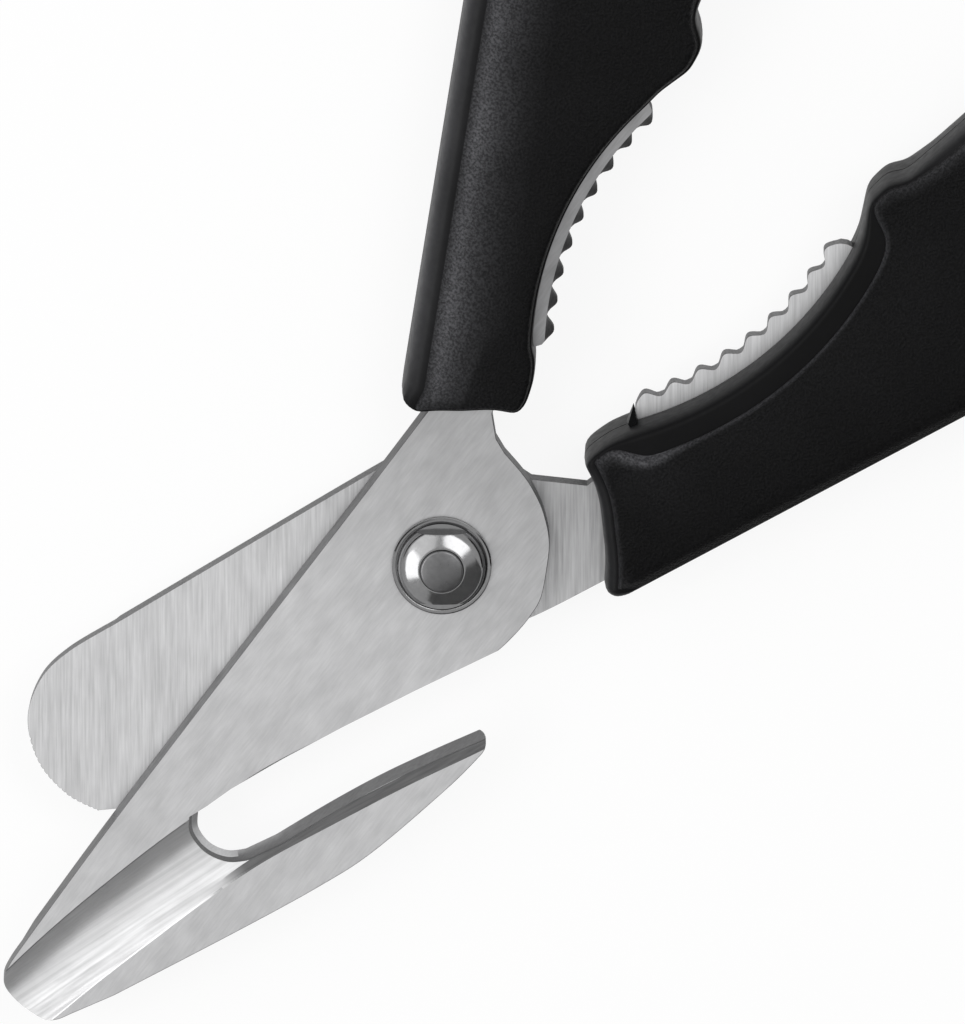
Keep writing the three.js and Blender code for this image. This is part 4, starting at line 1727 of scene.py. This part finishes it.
@dataclass
class Studio:
    """The floor, the lights and the camera.

    The lens, its sensor, the frame's height and the aim are in millimetres, other lengths in metres.
    """

    lens: float = 1500.0
    sensor: float = 36.0
    frame_height: float = 107.8
    far_clip: float = 20.0
    aim: Place = (-0.1, 7.2, 6.95)
    towards_camera: Place = (-0.157, 0.206, 0.966)
    image_right: Place = (0.7944, 0.6074, 0.0)
    floor_size: float = 4.0
    floor_gap: float = 0.0002
    floor_white: float = 0.88
    ambient: float = 0.45

    def camera(self) -> None:
        """Place the camera at the photograph's viewing angle."""
        data = bpy.data.cameras.new("camera")
        data.lens = self.lens
        data.sensor_width = self.sensor
        data.clip_end = self.far_clip
        distance = self.frame_height / self.sensor * self.lens * MM
        back = Vector(self.towards_camera).normalized()
        right = Vector(self.image_right).normalized()
        right = (right - back * right.dot(back)).normalized()
        up = back.cross(right)
        turn = Matrix((right, up, back)).transposed().to_4x4()
        camera = bpy.data.objects.new("camera", data)
        camera.matrix_world = Matrix.Translation(Vector(self.aim) * MM + back * distance) @ turn
        bpy.context.scene.collection.objects.link(camera)
        bpy.context.scene.camera = camera

    def floor(self) -> None:
        """Lay a pale floor under the handles, white to the camera but for soft shadows."""
        level = Matrix.Translation((0, 0, LEVELS.handle_back * MM - self.floor_gap))
        floor = sheet("floor", level @ Matrix.Diagonal((self.floor_size, self.floor_size, 1, 1)))
        board = FLOOR_PAPER.board()
        glow = board.node("Emission", Color=(1, 1, 1, 1), Strength=1.0)
        share = board.product(seen_rays(board.tree), self.floor_white)
        blend(board.tree.nodes["Material Output"], share, board.shader, glow)
        floor.data.materials.append(board.material)

    def world(self) -> None:
        """Surround the scene with soft grey light that camera and mirror rays see as white."""
        world = bpy.data.worlds.new("studio")
        bpy.context.scene.world = world
        world.use_nodes = True
        tree = world.node_tree
        light, paper = tree.nodes["Background"], tree.nodes.new("ShaderNodeBackground")
        for node, strength in ((light, self.ambient), (paper, 1.0)):
            node.inputs["Color"].default_value = (1, 1, 1, 1)
            node.inputs["Strength"].default_value = strength
        blend(tree.nodes["World Output"], seen_rays(tree), light, paper)

    def lamp(self, name: str, place: Place, size: Point, power: float) -> None:
        """Hang a soft light that faces the scissors.

        Args:
            name: Name of the light.
            place: Where it hangs, in metres.
            size: Its width and height, in metres.
            power: Power, in watts.
        """
        data = bpy.data.lights.new(name, "AREA")
        data.shape = "RECTANGLE"
        data.size, data.size_y = size
        data.energy = power
        lamp = bpy.data.objects.new(name, data)
        lamp.matrix_world = facing(place)
        bpy.context.scene.collection.objects.link(lamp)

    def card(self, name: str, place: Place, size: Point, grey: float) -> None:
        """Hang a matt card that faces the scissors, for the darker reflections.

        Args:
            name: Name of the card.
            place: Middle of the card, in metres.
            size: Its width and height, in metres.
            grey: Its tone.
        """
        card = sheet(name, facing(place) @ Matrix.Diagonal((*size, 1, 1)))
        card.visible_camera = False
        card.visible_diffuse = False
        card.visible_shadow = False
        felt = MattSheet(
            name=name + "_felt", tone=grey, grain=1.0, detail=2.0, spread=0.1, roughness=1.0, specular=0.0)
        card.data.materials.append(felt.board().material)

    def build(self) -> None:
        """Set up the camera, the floor and the lights."""
        bpy.context.scene.view_settings.view_transform = "Standard"
        self.camera()
        self.floor()
        self.world()
        self.lamp("key_light", place=(-0.62, 0.0, 0.66), size=(0.7, 0.7), power=2.1)
        self.lamp("left_light", place=(-0.247, -0.286, 0.4), size=(0.34, 0.2), power=0.85)
        self.lamp("far_light", place=(0.027, 0.286, 0.47), size=(0.34, 0.2), power=0.85)
        self.card("side_card", place=(0.6, -0.2, 0.36), size=(1.3, 0.85), grey=0.34)
        self.card("low_card", place=(-0.8, 0.1, 0.1), size=(1.4, 0.24), grey=0.10)


def main() -> None:
    """Build the scissors around the frame."""
    logging.basicConfig(level=logging.INFO)
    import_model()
    Studio().build()
    for part in (FrontBlade(), RearBlade(), LEFT_STRIP, RIGHT_STRIP, Pivot(), LEFT_HANDLE, RIGHT_HANDLE):
        part.add()


if __name__ == "__main__":
    main()
